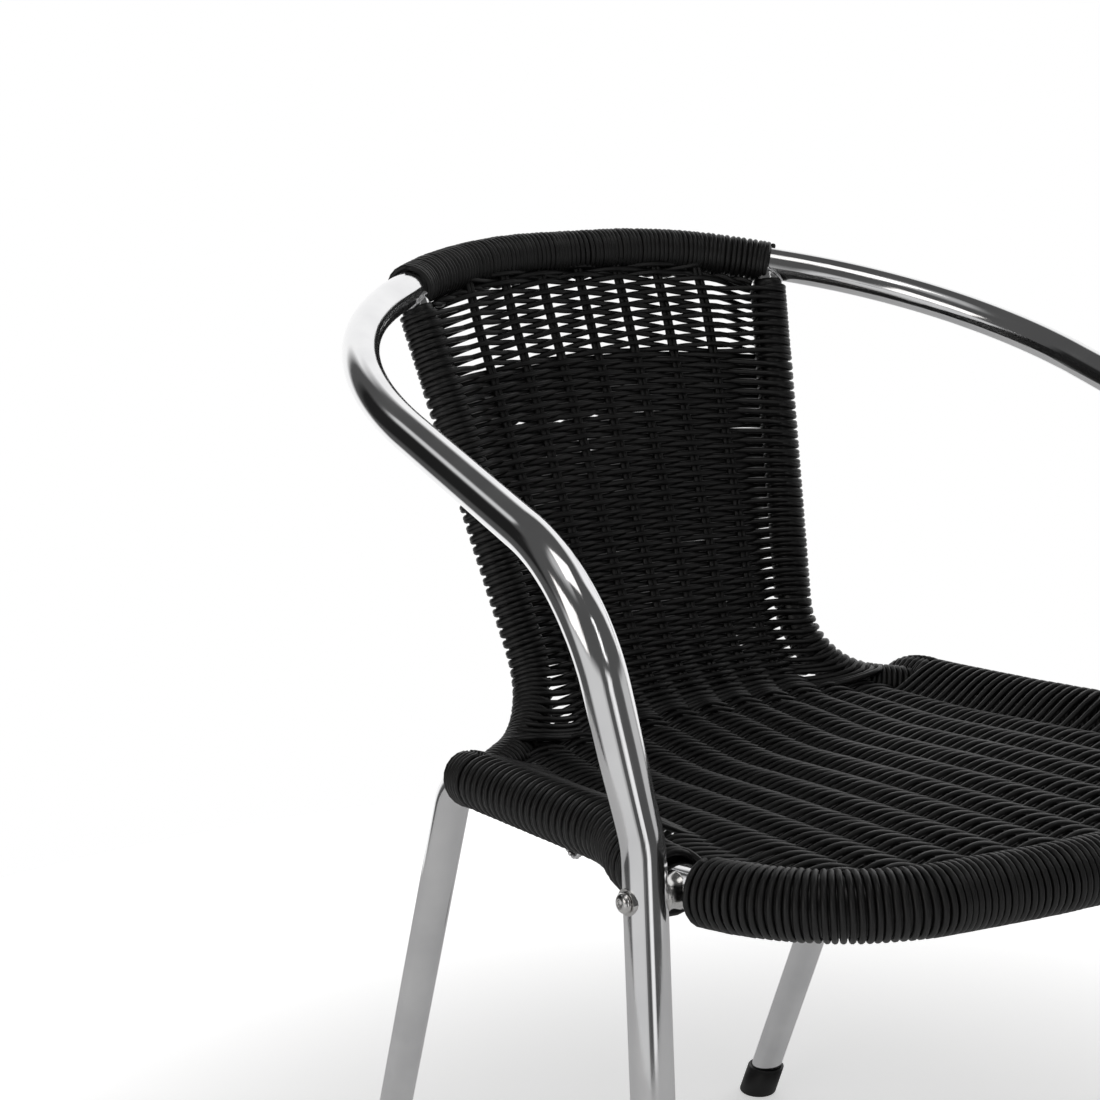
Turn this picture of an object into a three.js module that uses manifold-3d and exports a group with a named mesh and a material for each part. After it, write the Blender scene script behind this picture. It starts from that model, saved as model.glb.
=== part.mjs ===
// Stacking bistro armchair: two bent aluminium tubes, two bent back rods and a woven cord back and seat.
// Millimetres, +Z up. The sitter faces -Y, and the origin is on the floor under the middle of the chair.
// The chair is its own mirror image, so every run of tube is written for the +X side only.
import * as THREE from "three";
import { mergeVertices } from "three/addons/utils/BufferGeometryUtils.js";
import Module from "manifold-3d";

const at = (x, y, z) => new THREE.Vector3(x, y, z);

// Stock sizes
const TUBE_RADIUS = 12;
const TUBE_WALL = 1.5;
const ROD_RADIUS = 10;
const CROSS_RADIUS = 8;
const CORD = 3.3;
const FIT = 0.4;

// Places are given as distances: OUT from the mid-plane, BACK or AHEAD of the middle, and HEIGHT.
// The back rail's height carries the shoulder and elbow bends, and the front rail's the seat, knee and rods.
// Arm tube: back rail, arm and front leg. Each corner is where two straight runs would meet.
const RAIL_OUT = 84;
const RAIL_BACK = 261;
const RAIL_HEIGHT = 726;
const SHOULDER_OUT = 146;
const SHOULDER_SET_IN = 30;
const SHOULDER_DROP = 13;
const ELBOW_OUT = 271;
const ELBOW_BACK = 137;
const ELBOW_DROP = 44;
const HAND_OUT = 268;
const HAND_AHEAD = 161;
const HAND_HEIGHT = 582;
const KNEE_AHEAD = 184;
const KNEE_RISE = 30;
const LEG_GAP = 2.7;
const FRONT_FOOT_SPLAY = 10;
const FRONT_FOOT_AHEAD = 207;
const RAIL_BEND = 230;
const SHOULDER_BEND = 110;
const ELBOW_BEND = 262;
const HAND_BEND = 95;
const KNEE_BEND = 80;

// Seat tube: front rail, side rail and rear leg
const FRONT_RAIL_AHEAD = 297;
const FRONT_RAIL_HEIGHT = 411;
const SEAT_CORNER_OUT = 278;
const SEAT_CORNER_AHEAD = 259;
const SEAT_CORNER_RISE = 6.5;
const WAIST_OUT = 199;
const WAIST_AHEAD = 92;
const WAIST_DROP = 0.5;
const SEAT_REAR_OUT = 192;
const SEAT_REAR_BACK = 117.5;
const SEAT_REAR_DROP = 13;
const REAR_FOOT_OUT = 185;
const REAR_FOOT_BACK = 293;
const FRONT_RAIL_BEND = 620;
const SEAT_CORNER_BEND = 112;
const WAIST_BEND = 145;
const SEAT_REAR_BEND = 45;

// Back rod: from the back rail down the back, round the corner and out to the side rail
const ROD_TOP_OUT = 153.5;
const ROD_CORNER_OUT = 109;
const ROD_CORNER_BACK = 135;
const ROD_CORNER_RISE = 1;
const ROD_END_BACK = 85;
const ROD_CORNER_BEND = 65;

// Woven panels: ribs run over the stakes, and the weave sweeps from back to seat in a wide curve
const RIB_LIFT = 3;
const BACK_STAKES = 3;
const SEAT_STAKES = 5;
const STAKE_PITCH_TOP = 33;
const STAKE_PITCH_CORNER = 27.2;
const STAKE_PITCH_FRONT = 30.5;
const PANEL_TOP_RUN = 14;
const PANEL_GAP = 3;
const RAIL_BOW = 30;
const RAIL_RISE = 14;
const SEAT_SAG = 2.5;
const SWEEP_FILL = 12;
const SWEEP_REACH = 115;
const FRONT_ROW_SHARE = 0.622;

// Wound sleeves
const TOP_WRAP_PAST_ROD = 2.5;
const UPRIGHT_WRAP_START = 14;
const SIDE_WRAP_PAST_ROD = 18;
const BARE_BEHIND_BOLT = 13;
const BARE_AHEAD_OF_BOLT = 13;

// Feet, cross tube and corner bolts
const CAP_THICKNESS = 2.4;
const CAP_HEIGHT = 28;
const CAP_BASE = 5;
const SEAT_CROSS_AHEAD = 32;
const SEAT_CROSS_DROP = 16;
const BOLT_RADIUS = 3;
const BOLT_HEAD_RADIUS = 6.4;
const BOLT_HEAD_HEIGHT = 3.6;
const BOLT_SOCKET_RADIUS = 2.5;
const BOLT_SOCKET_DEPTH = 2;
const BOLT_TIP = 1;
const WASHER_RADIUS = 7.4;
const WASHER_THICKNESS = 1.2;
const SPACER_RADIUS = 9;
const NUT_RADIUS = 5.8;
const NUT_HEIGHT = 5;

// Facets and reach of the cutting solids
const TUBE_SIDES = 14;
const BORE_SIDES = 8;
const SLEEVE_SIDES = 12;
const BOLT_SIDES = 20;
const HEX_SIDES = 6;
const BEND_STEP = THREE.MathUtils.degToRad(14);
const PANEL_ROW_STEP = 30;
const REACH = 900;
const BELOW_FLOOR = 40;

const wasm = await Module();
wasm.setup();

const material = (color, roughness, metalness) =>
  new THREE.MeshStandardMaterial({ color, roughness, metalness });
const polishedTube = material(0xd4d6d8, 0.16, 1);
const steel = material(0xb9bbbd, 0.25, 1);
const cord = material(0x1b1b1c, 0.5, 0);
const footPlastic = material(0x141415, 0.6, 0);

// A centre line of straight runs and round bends, with its stations close together only in the bends.
class BentLine extends THREE.Curve {
  constructor(points) {
    super();
    this.points = points;
    this.runs = [0];
    for (let i = 1; i < points.length; i += 1) {
      this.runs.push(this.runs[i - 1] + points[i].distanceTo(points[i - 1]));
    }
  }

  get spans() {
    return this.points.length - 1;
  }

  get length() {
    return this.runs[this.spans];
  }

  getPointAt(share) {
    const place = share * this.spans;
    const i = Math.min(Math.floor(place), this.spans - 1);
    return this.points[i].clone().lerp(this.points[i + 1], place - i);
  }

  getTangentAt(share) {
    const i = Math.round(share * this.spans);
    const before = this.points[Math.max(i - 1, 0)];
    const after = this.points[Math.min(i + 1, this.spans)];
    return after.clone().sub(before).normalize();
  }

  pointAtRun(run) {
    const past = this.runs.findIndex((r) => r > run);
    const i = past < 1 ? this.spans : past;
    const share = (run - this.runs[i - 1]) / (this.runs[i] - this.runs[i - 1]);
    return this.points[i - 1].clone().lerp(this.points[i], share);
  }

  runWhere(axis, value, from = 0) {
    for (let i = 1; i < this.points.length; i += 1) {
      const a = this.points[i - 1][axis] - value;
      const b = this.points[i][axis] - value;
      if (this.runs[i] > from && a * b <= 0 && a !== b) {
        return this.runs[i - 1] + (this.runs[i] - this.runs[i - 1]) * (a / (a - b));
      }
    }
    throw new Error("the line never reaches " + axis + " = " + value);
  }

  slice(from, to) {
    const inside = this.points.filter((p, i) => this.runs[i] > from + FIT && this.runs[i] < to - FIT);
    return new BentLine([this.pointAtRun(from), ...inside, this.pointAtRun(to)]);
  }
}

// The points of one bend: an arc of the given radius that touches both straight runs.
function bendPoints(before, corner, after, radius) {
  const back = before.clone().sub(corner).normalize();
  const ahead = after.clone().sub(corner).normalize();
  const half = back.angleTo(ahead) / 2;
  const middle = back.clone().add(ahead).normalize();
  const centre = corner.clone().addScaledVector(middle, radius / Math.sin(half));
  const start = corner.clone().addScaledVector(back, radius / Math.tan(half)).sub(centre);
  const axis = back.clone().cross(ahead).normalize();
  const sweep = Math.PI - 2 * half;
  const steps = Math.max(2, Math.ceil(sweep / BEND_STEP));
  return Array.from({ length: steps + 1 }, (unused, i) =>
    start.clone().applyAxisAngle(axis, (-sweep * i) / steps).add(centre),
  );
}

function bentLine(corners, radii) {
  const bends = radii.flatMap((radius, i) => bendPoints(corners[i], corners[i + 1], corners[i + 2], radius));
  return new BentLine([corners[0], ...bends, corners[corners.length - 1]]);
}

const mirrored = (point) => at(-point.x, point.y, point.z);

// The whole symmetric tube, from the -X foot to the +X foot.
function symmetricLine(corners, radii, middle) {
  const left = corners.map(mirrored).reverse();
  const centre = middle ? [middle.corner] : [];
  const centreRadius = middle ? [middle.radius] : [];
  return bentLine([...left, ...centre, ...corners], [...[...radii].reverse(), ...centreRadius, ...radii]);
}

// The straight run carried on under the floor, where the level cut takes it off.
function underFloor(above, foot) {
  const step = foot.clone().sub(above).normalize();
  return foot.clone().addScaledVector(step, BELOW_FLOOR / -step.z);
}

const rightHalf = (line) => line.length / 2;
const aboveSeat = (out, y, rise) => at(out, y, FRONT_RAIL_HEIGHT + rise);
const seatRear = aboveSeat(SEAT_REAR_OUT, SEAT_REAR_BACK, -SEAT_REAR_DROP);
const seatCorners = [
  aboveSeat(SEAT_CORNER_OUT, -SEAT_CORNER_AHEAD, SEAT_CORNER_RISE),
  aboveSeat(WAIST_OUT, -WAIST_AHEAD, -WAIST_DROP),
  seatRear,
  underFloor(seatRear, at(REAR_FOOT_OUT, REAR_FOOT_BACK, 0)),
];
const frontMiddle = { corner: aboveSeat(0, -FRONT_RAIL_AHEAD, 0), radius: FRONT_RAIL_BEND };
const seatLine = symmetricLine(seatCorners, [SEAT_CORNER_BEND, WAIST_BEND, SEAT_REAR_BEND], frontMiddle);

// The leg passes outside the seat tube at a set gap, and its foot splays out a little further.
const railBesideKnee = seatLine.pointAtRun(seatLine.runWhere("y", -KNEE_AHEAD, rightHalf(seatLine)));
const kneeOut = railBesideKnee.x + 2 * TUBE_RADIUS + LEG_GAP;
const knee = aboveSeat(kneeOut, -KNEE_AHEAD, KNEE_RISE);
const armCorners = [
  at(RAIL_OUT, RAIL_BACK, RAIL_HEIGHT),
  at(SHOULDER_OUT, RAIL_BACK - SHOULDER_SET_IN, RAIL_HEIGHT - SHOULDER_DROP),
  at(ELBOW_OUT, ELBOW_BACK, RAIL_HEIGHT - ELBOW_DROP),
  at(HAND_OUT, -HAND_AHEAD, HAND_HEIGHT),
  knee,
  underFloor(knee, at(kneeOut + FRONT_FOOT_SPLAY, -FRONT_FOOT_AHEAD, 0)),
];
const armLine = symmetricLine(armCorners, [RAIL_BEND, SHOULDER_BEND, ELBOW_BEND, HAND_BEND, KNEE_BEND]);

// Both ends of a rod lie on the centre lines of the tubes that it is welded to.
const rodTop = armLine.pointAtRun(armLine.runWhere("x", ROD_TOP_OUT, rightHalf(armLine)));
const rodCorner = aboveSeat(ROD_CORNER_OUT, ROD_CORNER_BACK, ROD_CORNER_RISE);
const rodEnd = seatLine.pointAtRun(seatLine.runWhere("y", ROD_END_BACK, rightHalf(seatLine)));
const rodLine = bentLine([rodTop, rodCorner, rodEnd], [ROD_CORNER_BEND]);

function circle(radius, sides) {
  const ring = (unused, i) => {
    const turn = (2 * Math.PI * i) / sides;
    return new THREE.Vector2(radius * Math.cos(turn), radius * Math.sin(turn));
  };
  return new THREE.Shape(Array.from({ length: sides }, ring));
}

function swept(line, radius, sides, boreRadius = 0, boreSides = sides) {
  const section = circle(radius, sides);
  if (boreRadius > 0) {
    section.holes.push(circle(boreRadius, boreSides));
  }
  return new THREE.ExtrudeGeometry(section, { steps: line.spans, extrudePath: line });
}

// A bore whose flats, and not only its edges, clear a round piece of the given radius.
const clearing = (radius, sides) => (radius + FIT) / Math.cos(Math.PI / sides);

function toSolid(geometry) {
  const bare = geometry.clone();
  bare.deleteAttribute("normal");
  bare.deleteAttribute("uv");
  const merged = mergeVertices(bare);
  const made = new wasm.Manifold(
    new wasm.Mesh({
      numProp: 3,
      vertProperties: merged.attributes.position.array,
      triVerts: new Uint32Array(merged.index.array),
    }),
  );
  return made;
}

function toGeometry(solid) {
  const mesh = solid.getMesh();
  const geometry = new THREE.BufferGeometry();
  geometry.setAttribute("position", new THREE.BufferAttribute(mesh.vertProperties, mesh.numProp));
  geometry.setIndex(new THREE.BufferAttribute(mesh.triVerts, 1));
  geometry.computeVertexNormals();
  return geometry;
}

const sweptSolid = (...sizes) => toSolid(swept(...sizes));
const without = (solid, ...cutters) => cutters.reduce((left, cutter) => left.subtract(cutter), solid);
const flipX = new THREE.Matrix4().makeScale(-1, 1, 1);

function mirroredGeometry(geometry) {
  const flipped = geometry.clone().applyMatrix4(flipX);
  const order = flipped.index.array;
  for (let i = 0; i < order.length; i += 3) {
    [order[i + 1], order[i + 2]] = [order[i + 2], order[i + 1]];
  }
  flipped.computeVertexNormals();
  return flipped;
}

// Everything above the given height, as a cutting block.
function above(height) {
  const block = new THREE.BoxGeometry(2 * REACH, 2 * REACH, REACH);
  block.translate(0, 0, height + REACH / 2);
  return toSolid(block);
}

// A round bar along X between two places, for holes, spacers and bolts.
function barAlongX(radius, sides, fromX, toX, y, z) {
  const bar = new THREE.CylinderGeometry(radius, radius, toX - fromX, sides);
  bar.rotateZ(Math.PI / 2);
  bar.translate((fromX + toX) / 2, y, z);
  return toSolid(bar);
}

// The corner bolt goes where the leg passes the seat tube, at the height that the seat tube has there.
const legAtHeight = (height) => armLine.pointAtRun(armLine.runWhere("z", height, rightHalf(armLine)));
const seatRunBeside = (point) => seatLine.runWhere("y", point.y, rightHalf(seatLine));
const passingHeight = seatLine.pointAtRun(seatRunBeside(legAtHeight(FRONT_RAIL_HEIGHT))).z;
const legPoint = legAtHeight(passingHeight);
const boltRun = seatRunBeside(legPoint);
const railPoint = seatLine.pointAtRun(boltRun);
const boltY = legPoint.y;
const boltZ = (legPoint.z + railPoint.z) / 2;
const legOuterX = legPoint.x + TUBE_RADIUS;
const railInnerX = railPoint.x - TUBE_RADIUS;
const boltAt = (radius, sides, fromX, toX) => barAlongX(radius, sides, fromX, toX, boltY, boltZ);
const boltHole = boltAt(BOLT_RADIUS + FIT, BORE_SIDES, railInnerX - NUT_HEIGHT, legOuterX + NUT_HEIGHT);
const boltHoles = boltHole.add(toSolid(mirroredGeometry(toGeometry(boltHole))));

// Solids that keep neighbours clear of the tubes and rods
const clearOfTube = clearing(TUBE_RADIUS, TUBE_SIDES);
const armSpace = sweptSolid(armLine, clearOfTube, TUBE_SIDES);
const seatSpace = sweptSolid(seatLine, clearOfTube, TUBE_SIDES);
const rodSpace = sweptSolid(rodLine, clearing(ROD_RADIUS, TUBE_SIDES), TUBE_SIDES);

const chair = new THREE.Group();

function subgroup(name) {
  const group = new THREE.Group();
  group.name = name;
  chair.add(group);
  return group;
}

// Each piece has its geometry round its own middle, and its position puts it in its place on the chair.
function addPiece(group, name, shape, finish) {
  const geometry = shape.isBufferGeometry ? shape : toGeometry(shape);
  geometry.computeBoundingBox();
  const middle = geometry.boundingBox.getCenter(new THREE.Vector3());
  geometry.translate(-middle.x, -middle.y, -middle.z);
  const mesh = new THREE.Mesh(geometry, finish.clone());
  mesh.name = name;
  mesh.position.copy(middle);
  group.add(mesh);
}

function addPair(group, name, solid, finish) {
  const left = mirroredGeometry(toGeometry(solid));
  addPiece(group, "right_" + name, solid, finish);
  addPiece(group, "left_" + name, left, finish);
}

const frame = subgroup("frame");
const wicker = subgroup("wicker");
const corners = subgroup("corners");
const feet = subgroup("feet");

// Tubes are cut level above the floor, where their caps close them.
function addTubes() {
  const bore = TUBE_RADIUS - TUBE_WALL;
  const standing = above(CAP_BASE);
  const arm = sweptSolid(armLine, TUBE_RADIUS, TUBE_SIDES, bore, BORE_SIDES);
  addPiece(frame, "arm_and_front_leg_tube", arm.intersect(standing).subtract(boltHoles), polishedTube);
  const seat = sweptSolid(seatLine, TUBE_RADIUS, TUBE_SIDES, bore, BORE_SIDES);
  addPiece(frame, "seat_and_rear_leg_tube", seat.intersect(standing).subtract(boltHoles), polishedTube);
}

// Each rod ends in a saddle that fits the tube it is welded to.
function addRods() {
  const rod = sweptSolid(rodLine, ROD_RADIUS, TUBE_SIDES, ROD_RADIUS - TUBE_WALL, BORE_SIDES);
  addPair(frame, "back_rod", without(rod, armSpace, seatSpace), polishedTube);
}

const seatCrossPoint = seatLine.pointAtRun(seatLine.runWhere("y", -SEAT_CROSS_AHEAD, rightHalf(seatLine)));
const seatCrossEnd = seatCrossPoint.clone().setZ(seatCrossPoint.z - SEAT_CROSS_DROP);
const seatCross = new BentLine([mirrored(seatCrossEnd), seatCrossEnd]);

// One straight tube joins the side rails under the seat, welded low so that it clears the weave.
function addCrossTube() {
  const tube = sweptSolid(seatCross, CROSS_RADIUS, TUBE_SIDES, CROSS_RADIUS - TUBE_WALL, BORE_SIDES);
  addPiece(frame, "seat_cross_tube", without(tube, seatSpace), polishedTube);
}

// Wound sleeves: the top rail has one layer of cord, the seat rails have two.
const topWrapRadius = TUBE_RADIUS + CORD;
const seatWrapRadius = TUBE_RADIUS + 2 * CORD;
const uprightWrapRadius = ROD_RADIUS + CORD;

function sleeve(line, radius, insideRadius) {
  return sweptSolid(line, radius, SLEEVE_SIDES, clearing(insideRadius, SLEEVE_SIDES));
}

const topWrapEnd = armLine.runWhere("x", ROD_TOP_OUT + TOP_WRAP_PAST_ROD, rightHalf(armLine));
const topWrapLine = armLine.slice(armLine.length - topWrapEnd, topWrapEnd);
const sideWrapStart = boltRun + BARE_BEHIND_BOLT;
const sideWrapStop = seatLine.runWhere("y", ROD_END_BACK + SIDE_WRAP_PAST_ROD, rightHalf(seatLine));
const sideWrapLine = seatLine.slice(sideWrapStart, sideWrapStop);
const frontWrapStop = boltRun - BARE_AHEAD_OF_BOLT;
const frontWrapLine = seatLine.slice(seatLine.length - frontWrapStop, frontWrapStop);
const uprightWrapLine = rodLine.slice(UPRIGHT_WRAP_START, rodLine.length);
const spaceAround = (line, radius) => sweptSolid(line, clearing(radius, SLEEVE_SIDES), SLEEVE_SIDES);
const topSpace = spaceAround(armLine, topWrapRadius);
const rodSpaces = rodSpace.add(toSolid(mirroredGeometry(toGeometry(rodSpace))));
const seatCrossSpace = sweptSolid(seatCross, clearing(CROSS_RADIUS, TUBE_SIDES), TUBE_SIDES);

function addSleeves() {
  const top = sleeve(topWrapLine, topWrapRadius, TUBE_RADIUS);
  addPiece(wicker, "top_rail_wrap", without(top, rodSpaces), cord);
  addPiece(wicker, "front_rail_wrap", sleeve(frontWrapLine, seatWrapRadius, TUBE_RADIUS), cord);
  const side = sleeve(sideWrapLine, seatWrapRadius, TUBE_RADIUS);
  addPair(wicker, "side_rail_wrap", without(side, rodSpace, seatCrossSpace), cord);
  const upright = sleeve(uprightWrapLine, uprightWrapRadius, ROD_RADIUS);
  const sideSpace = spaceAround(sideWrapLine, seatWrapRadius);
  addPair(wicker, "upright_wrap", without(upright, topSpace, sideSpace, seatSpace), cord);
}

const between = (from, to, share) => from + (to - from) * share;

// The weave's half thickness: a weft stands clear of the middle over a stake and lies in it between stakes.
const thinHalf = CORD / 2;
const ribHalf = thinHalf + RIB_LIFT;

// One row of a ribbed sheet: its two edges, and a crest on each stake with a valley on either side.
function ribbedRow(row, stakes) {
  const valley = 2 * stakes + 1;
  const columns = Array.from({ length: 2 * valley + 1 }, (unused, i) => i - valley);
  const ribs = columns.map((i) => ({ x: (i * row.pitch) / 2, half: i % 2 === 0 ? ribHalf : thinHalf }));
  return [{ x: -row.edge.x, half: thinHalf }, ...ribs, { x: row.edge.x, half: thinHalf }];
}

// A woven sheet across the chair. Each row gives its edge, which way the sheet runs on there, its stake
// pitch and how its middle stands off.
function sheet(rows, stakes) {
  const positions = [];
  const order = [];
  const ribbed = rows.map((row) => ribbedRow(row, stakes));
  for (const side of [1, -1]) {
    ribbed.forEach((columns, i) => {
      const { edge, along, bow, rise, fill } = rows[i];
      for (const { x, half } of columns) {
        const bulge = 1 - (x / edge.x) ** 2;
        const off = side * half - fill * bulge;
        positions.push(x, edge.y + bow * bulge - along.z * off, edge.z + rise * bulge + along.y * off);
      }
    });
  }
  const across = ribbed[0].length;
  const lastColumn = across - 1;
  const far = rows.length * across;
  const quad = (a, b, c, d) => order.push(a, b, c, a, c, d);
  for (let i = 0; i + 1 < rows.length; i += 1) {
    for (let j = 0; j < lastColumn; j += 1) {
      const k = i * across + j;
      quad(k, k + 1, k + 1 + across, k + across);
      quad(far + k, far + k + across, far + k + 1 + across, far + k + 1);
    }
    const first = i * across;
    const last = first + lastColumn;
    quad(first, first + across, far + first + across, far + first);
    quad(last, far + last, far + last + across, last + across);
  }
  const end = (rows.length - 1) * across;
  for (let j = 0; j < lastColumn; j += 1) {
    quad(j, far + j, far + j + 1, j + 1);
    quad(end + j, end + j + 1, far + end + j + 1, far + end + j);
  }
  const geometry = new THREE.BufferGeometry();
  geometry.setAttribute("position", new THREE.Float32BufferAttribute(positions, 3));
  geometry.setIndex(order);
  return toSolid(geometry);
}

// Rows at even steps along an edge line, each with what shape gives for its edge and its share of the way.
function rowsAlong(line, from, to, shape) {
  const count = Math.round((to - from) / PANEL_ROW_STEP);
  return Array.from({ length: count + 1 }, (unused, i) => {
    const run = between(from, to, i / count);
    const edge = line.pointAtRun(run);
    const ahead = line.pointAtRun(run + PANEL_GAP).sub(line.pointAtRun(run - PANEL_GAP));
    return { edge, along: ahead.setX(0).normalize(), ...shape(edge, i / count) };
  });
}

// How far the middle of the weave stands off towards the sitter, at a distance from the corner.
function sweepFill(away) {
  const share = Math.min(Math.abs(away) / SWEEP_REACH, 1);
  return (SWEEP_FILL * (1 + Math.cos(Math.PI * share))) / 2;
}

const cornerEndRun = rodLine.runs[rodLine.spans - 1];
const cornerEnd = rodLine.pointAtRun(cornerEndRun);
const widestSeatRun = seatLine.runWhere("y", ROD_END_BACK, rightHalf(seatLine));

function backShape(edge, share) {
  const fade = Math.max(0, 1 - share) ** 1.5;
  return {
    bow: RAIL_BOW * fade,
    rise: RAIL_RISE * fade - SEAT_SAG * share,
    fill: sweepFill(edge.distanceTo(cornerEnd)),
    pitch: between(STAKE_PITCH_TOP, STAKE_PITCH_CORNER, share),
  };
}

function cornerShape(edge) {
  const away = cornerEnd.y - edge.y;
  const share = away / (cornerEnd.y + FRONT_RAIL_AHEAD);
  const pitch = between(STAKE_PITCH_CORNER, STAKE_PITCH_FRONT, share);
  return { bow: 0, rise: -SEAT_SAG, fill: sweepFill(away), pitch };
}

// In front of the rods the seat runs level, and its rows bow forwards more and more to meet the front rail.
const levelAhead = at(0, -1, 0);
const frontRun = seatLine.runWhere("x", SEAT_CORNER_OUT * FRONT_ROW_SHARE, rightHalf(seatLine));
const frontBow = seatLine.pointAtRun(rightHalf(seatLine)).y - seatLine.pointAtRun(frontRun).y;

function seatShape(edge, share) {
  return { ...cornerShape(edge), along: levelAhead, bow: frontBow * (1 - share) ** 2 };
}

function addPanels() {
  const uprightSpace = spaceAround(uprightWrapLine, uprightWrapRadius);
  const uprightSpaces = uprightSpace.add(toSolid(mirroredGeometry(toGeometry(uprightSpace))));
  const backRows = rowsAlong(rodLine, PANEL_TOP_RUN, cornerEndRun, backShape);
  const back = without(sheet(backRows, BACK_STAKES), topSpace, rodSpaces, uprightSpaces);
  addPiece(wicker, "back_weave", back, cord);

  const behind = rowsAlong(rodLine, cornerEndRun + PANEL_GAP, rodLine.length, cornerShape);
  const ahead = rowsAlong(seatLine, frontRun, widestSeatRun, seatShape).reverse();
  const seatSheet = sheet([...behind, ...ahead.slice(1)], SEAT_STAKES);
  const railSpace = spaceAround(seatLine, seatWrapRadius);
  const seat = without(seatSheet, railSpace, uprightSpaces, spaceAround(armLine, TUBE_RADIUS));
  addPiece(wicker, "seat_weave", seat, cord);
}

// Corner joint: a button-head bolt through the leg and the seat tube, with washer, saddle spacer and nut.
function addCorners() {
  const headBase = legOuterX + WASHER_THICKNESS + FIT;
  const headProfile = [
    new THREE.Vector2(0, 0),
    new THREE.Vector2(BOLT_HEAD_RADIUS, 0),
    new THREE.Vector2(BOLT_HEAD_RADIUS * 0.96, BOLT_HEAD_HEIGHT * 0.35),
    new THREE.Vector2(BOLT_HEAD_RADIUS * 0.78, BOLT_HEAD_HEIGHT * 0.75),
    new THREE.Vector2(BOLT_HEAD_RADIUS * 0.5, BOLT_HEAD_HEIGHT),
    new THREE.Vector2(0, BOLT_HEAD_HEIGHT),
  ];
  const head = new THREE.LatheGeometry(headProfile, BOLT_SIDES);
  head.rotateZ(-Math.PI / 2);
  head.translate(headBase, boltY, boltZ);
  const tip = railInnerX - NUT_HEIGHT - BOLT_TIP;
  const shank = boltAt(BOLT_RADIUS, BORE_SIDES, tip, headBase + BOLT_HEAD_HEIGHT / 2);
  const headTop = headBase + BOLT_HEAD_HEIGHT;
  const socket = boltAt(BOLT_SOCKET_RADIUS, HEX_SIDES, headTop - BOLT_SOCKET_DEPTH, headTop + BOLT_TIP);
  addPair(corners, "corner_bolt", toSolid(head).add(shank).subtract(socket), steel);

  const passage = boltAt(clearing(BOLT_RADIUS, BORE_SIDES), BORE_SIDES, tip, headTop);
  const washer = boltAt(WASHER_RADIUS, BOLT_SIDES, legPoint.x, legOuterX + WASHER_THICKNESS);
  addPair(corners, "saddle_washer", without(washer, armSpace, passage), steel);
  const spacer = boltAt(SPACER_RADIUS, BOLT_SIDES, railPoint.x, legPoint.x);
  addPair(corners, "corner_spacer", without(spacer, armSpace, seatSpace, passage), steel);
  const nut = boltAt(NUT_RADIUS, HEX_SIDES, railInnerX - NUT_HEIGHT, railPoint.x);
  addPair(corners, "corner_nut", without(nut, passage, seatSpace), steel);
}

// Foot caps: cups over the tube ends, cut level so that each stands flat on the floor.
function addFeet() {
  const standing = above(0);
  const slab = standing.subtract(above(CAP_HEIGHT));
  const inside = above(CAP_BASE - FIT);
  const legs = [
    ["front_foot_cap", armLine, armSpace],
    ["rear_foot_cap", seatLine, seatSpace],
  ];
  for (const [name, line, space] of legs) {
    const leg = line.slice(line.length - 2 * BELOW_FLOOR, line.length);
    const outer = sweptSolid(leg, TUBE_RADIUS + FIT + CAP_THICKNESS, TUBE_SIDES);
    addPair(feet, name, outer.intersect(slab).subtract(space.intersect(inside)), footPlastic);
  }
}

addTubes();
addRods();
addCrossTube();
addSleeves();
addPanels();
addCorners();
addFeet();

export default chair;
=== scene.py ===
# Stacking bistro armchair: polished bent tubes, cord-wound rails and a woven back and seat.
# Sizes are millimetres, as on a drawing, and put_mesh turns them into metres. The studio is in metres.
import math

import bpy
import numpy as np
from mathutils import Matrix, Vector


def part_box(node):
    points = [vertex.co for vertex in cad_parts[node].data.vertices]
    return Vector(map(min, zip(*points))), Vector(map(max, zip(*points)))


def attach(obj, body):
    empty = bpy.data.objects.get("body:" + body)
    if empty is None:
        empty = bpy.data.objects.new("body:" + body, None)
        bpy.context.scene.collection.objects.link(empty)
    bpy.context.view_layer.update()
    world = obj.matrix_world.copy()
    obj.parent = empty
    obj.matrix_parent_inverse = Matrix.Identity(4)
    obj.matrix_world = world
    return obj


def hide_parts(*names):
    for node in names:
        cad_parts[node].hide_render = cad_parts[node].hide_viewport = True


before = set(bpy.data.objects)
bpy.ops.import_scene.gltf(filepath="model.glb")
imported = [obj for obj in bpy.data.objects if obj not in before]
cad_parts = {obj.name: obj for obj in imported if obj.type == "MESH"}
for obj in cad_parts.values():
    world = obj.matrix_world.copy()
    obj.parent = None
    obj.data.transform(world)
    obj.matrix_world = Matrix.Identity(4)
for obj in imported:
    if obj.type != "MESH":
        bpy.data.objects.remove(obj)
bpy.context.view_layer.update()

# Camera at the photograph's viewing angle: a 67.5 mm lens on a 36 mm frame, level, then turned by
# yaw and pitch and rolled a little about its own axis.
CAMERA_AT = (-824.05, -1035.13, 794.79)
CAMERA_YAW = math.radians(-31.61)
CAMERA_PITCH = math.radians(10.75)
CAMERA_ROLL = math.radians(1.90)
CAMERA_LENS, CAMERA_SENSOR = 67.52, 36.0
CAMERA_CLIP = (0.05, 50.0)
MM = 0.001


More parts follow.
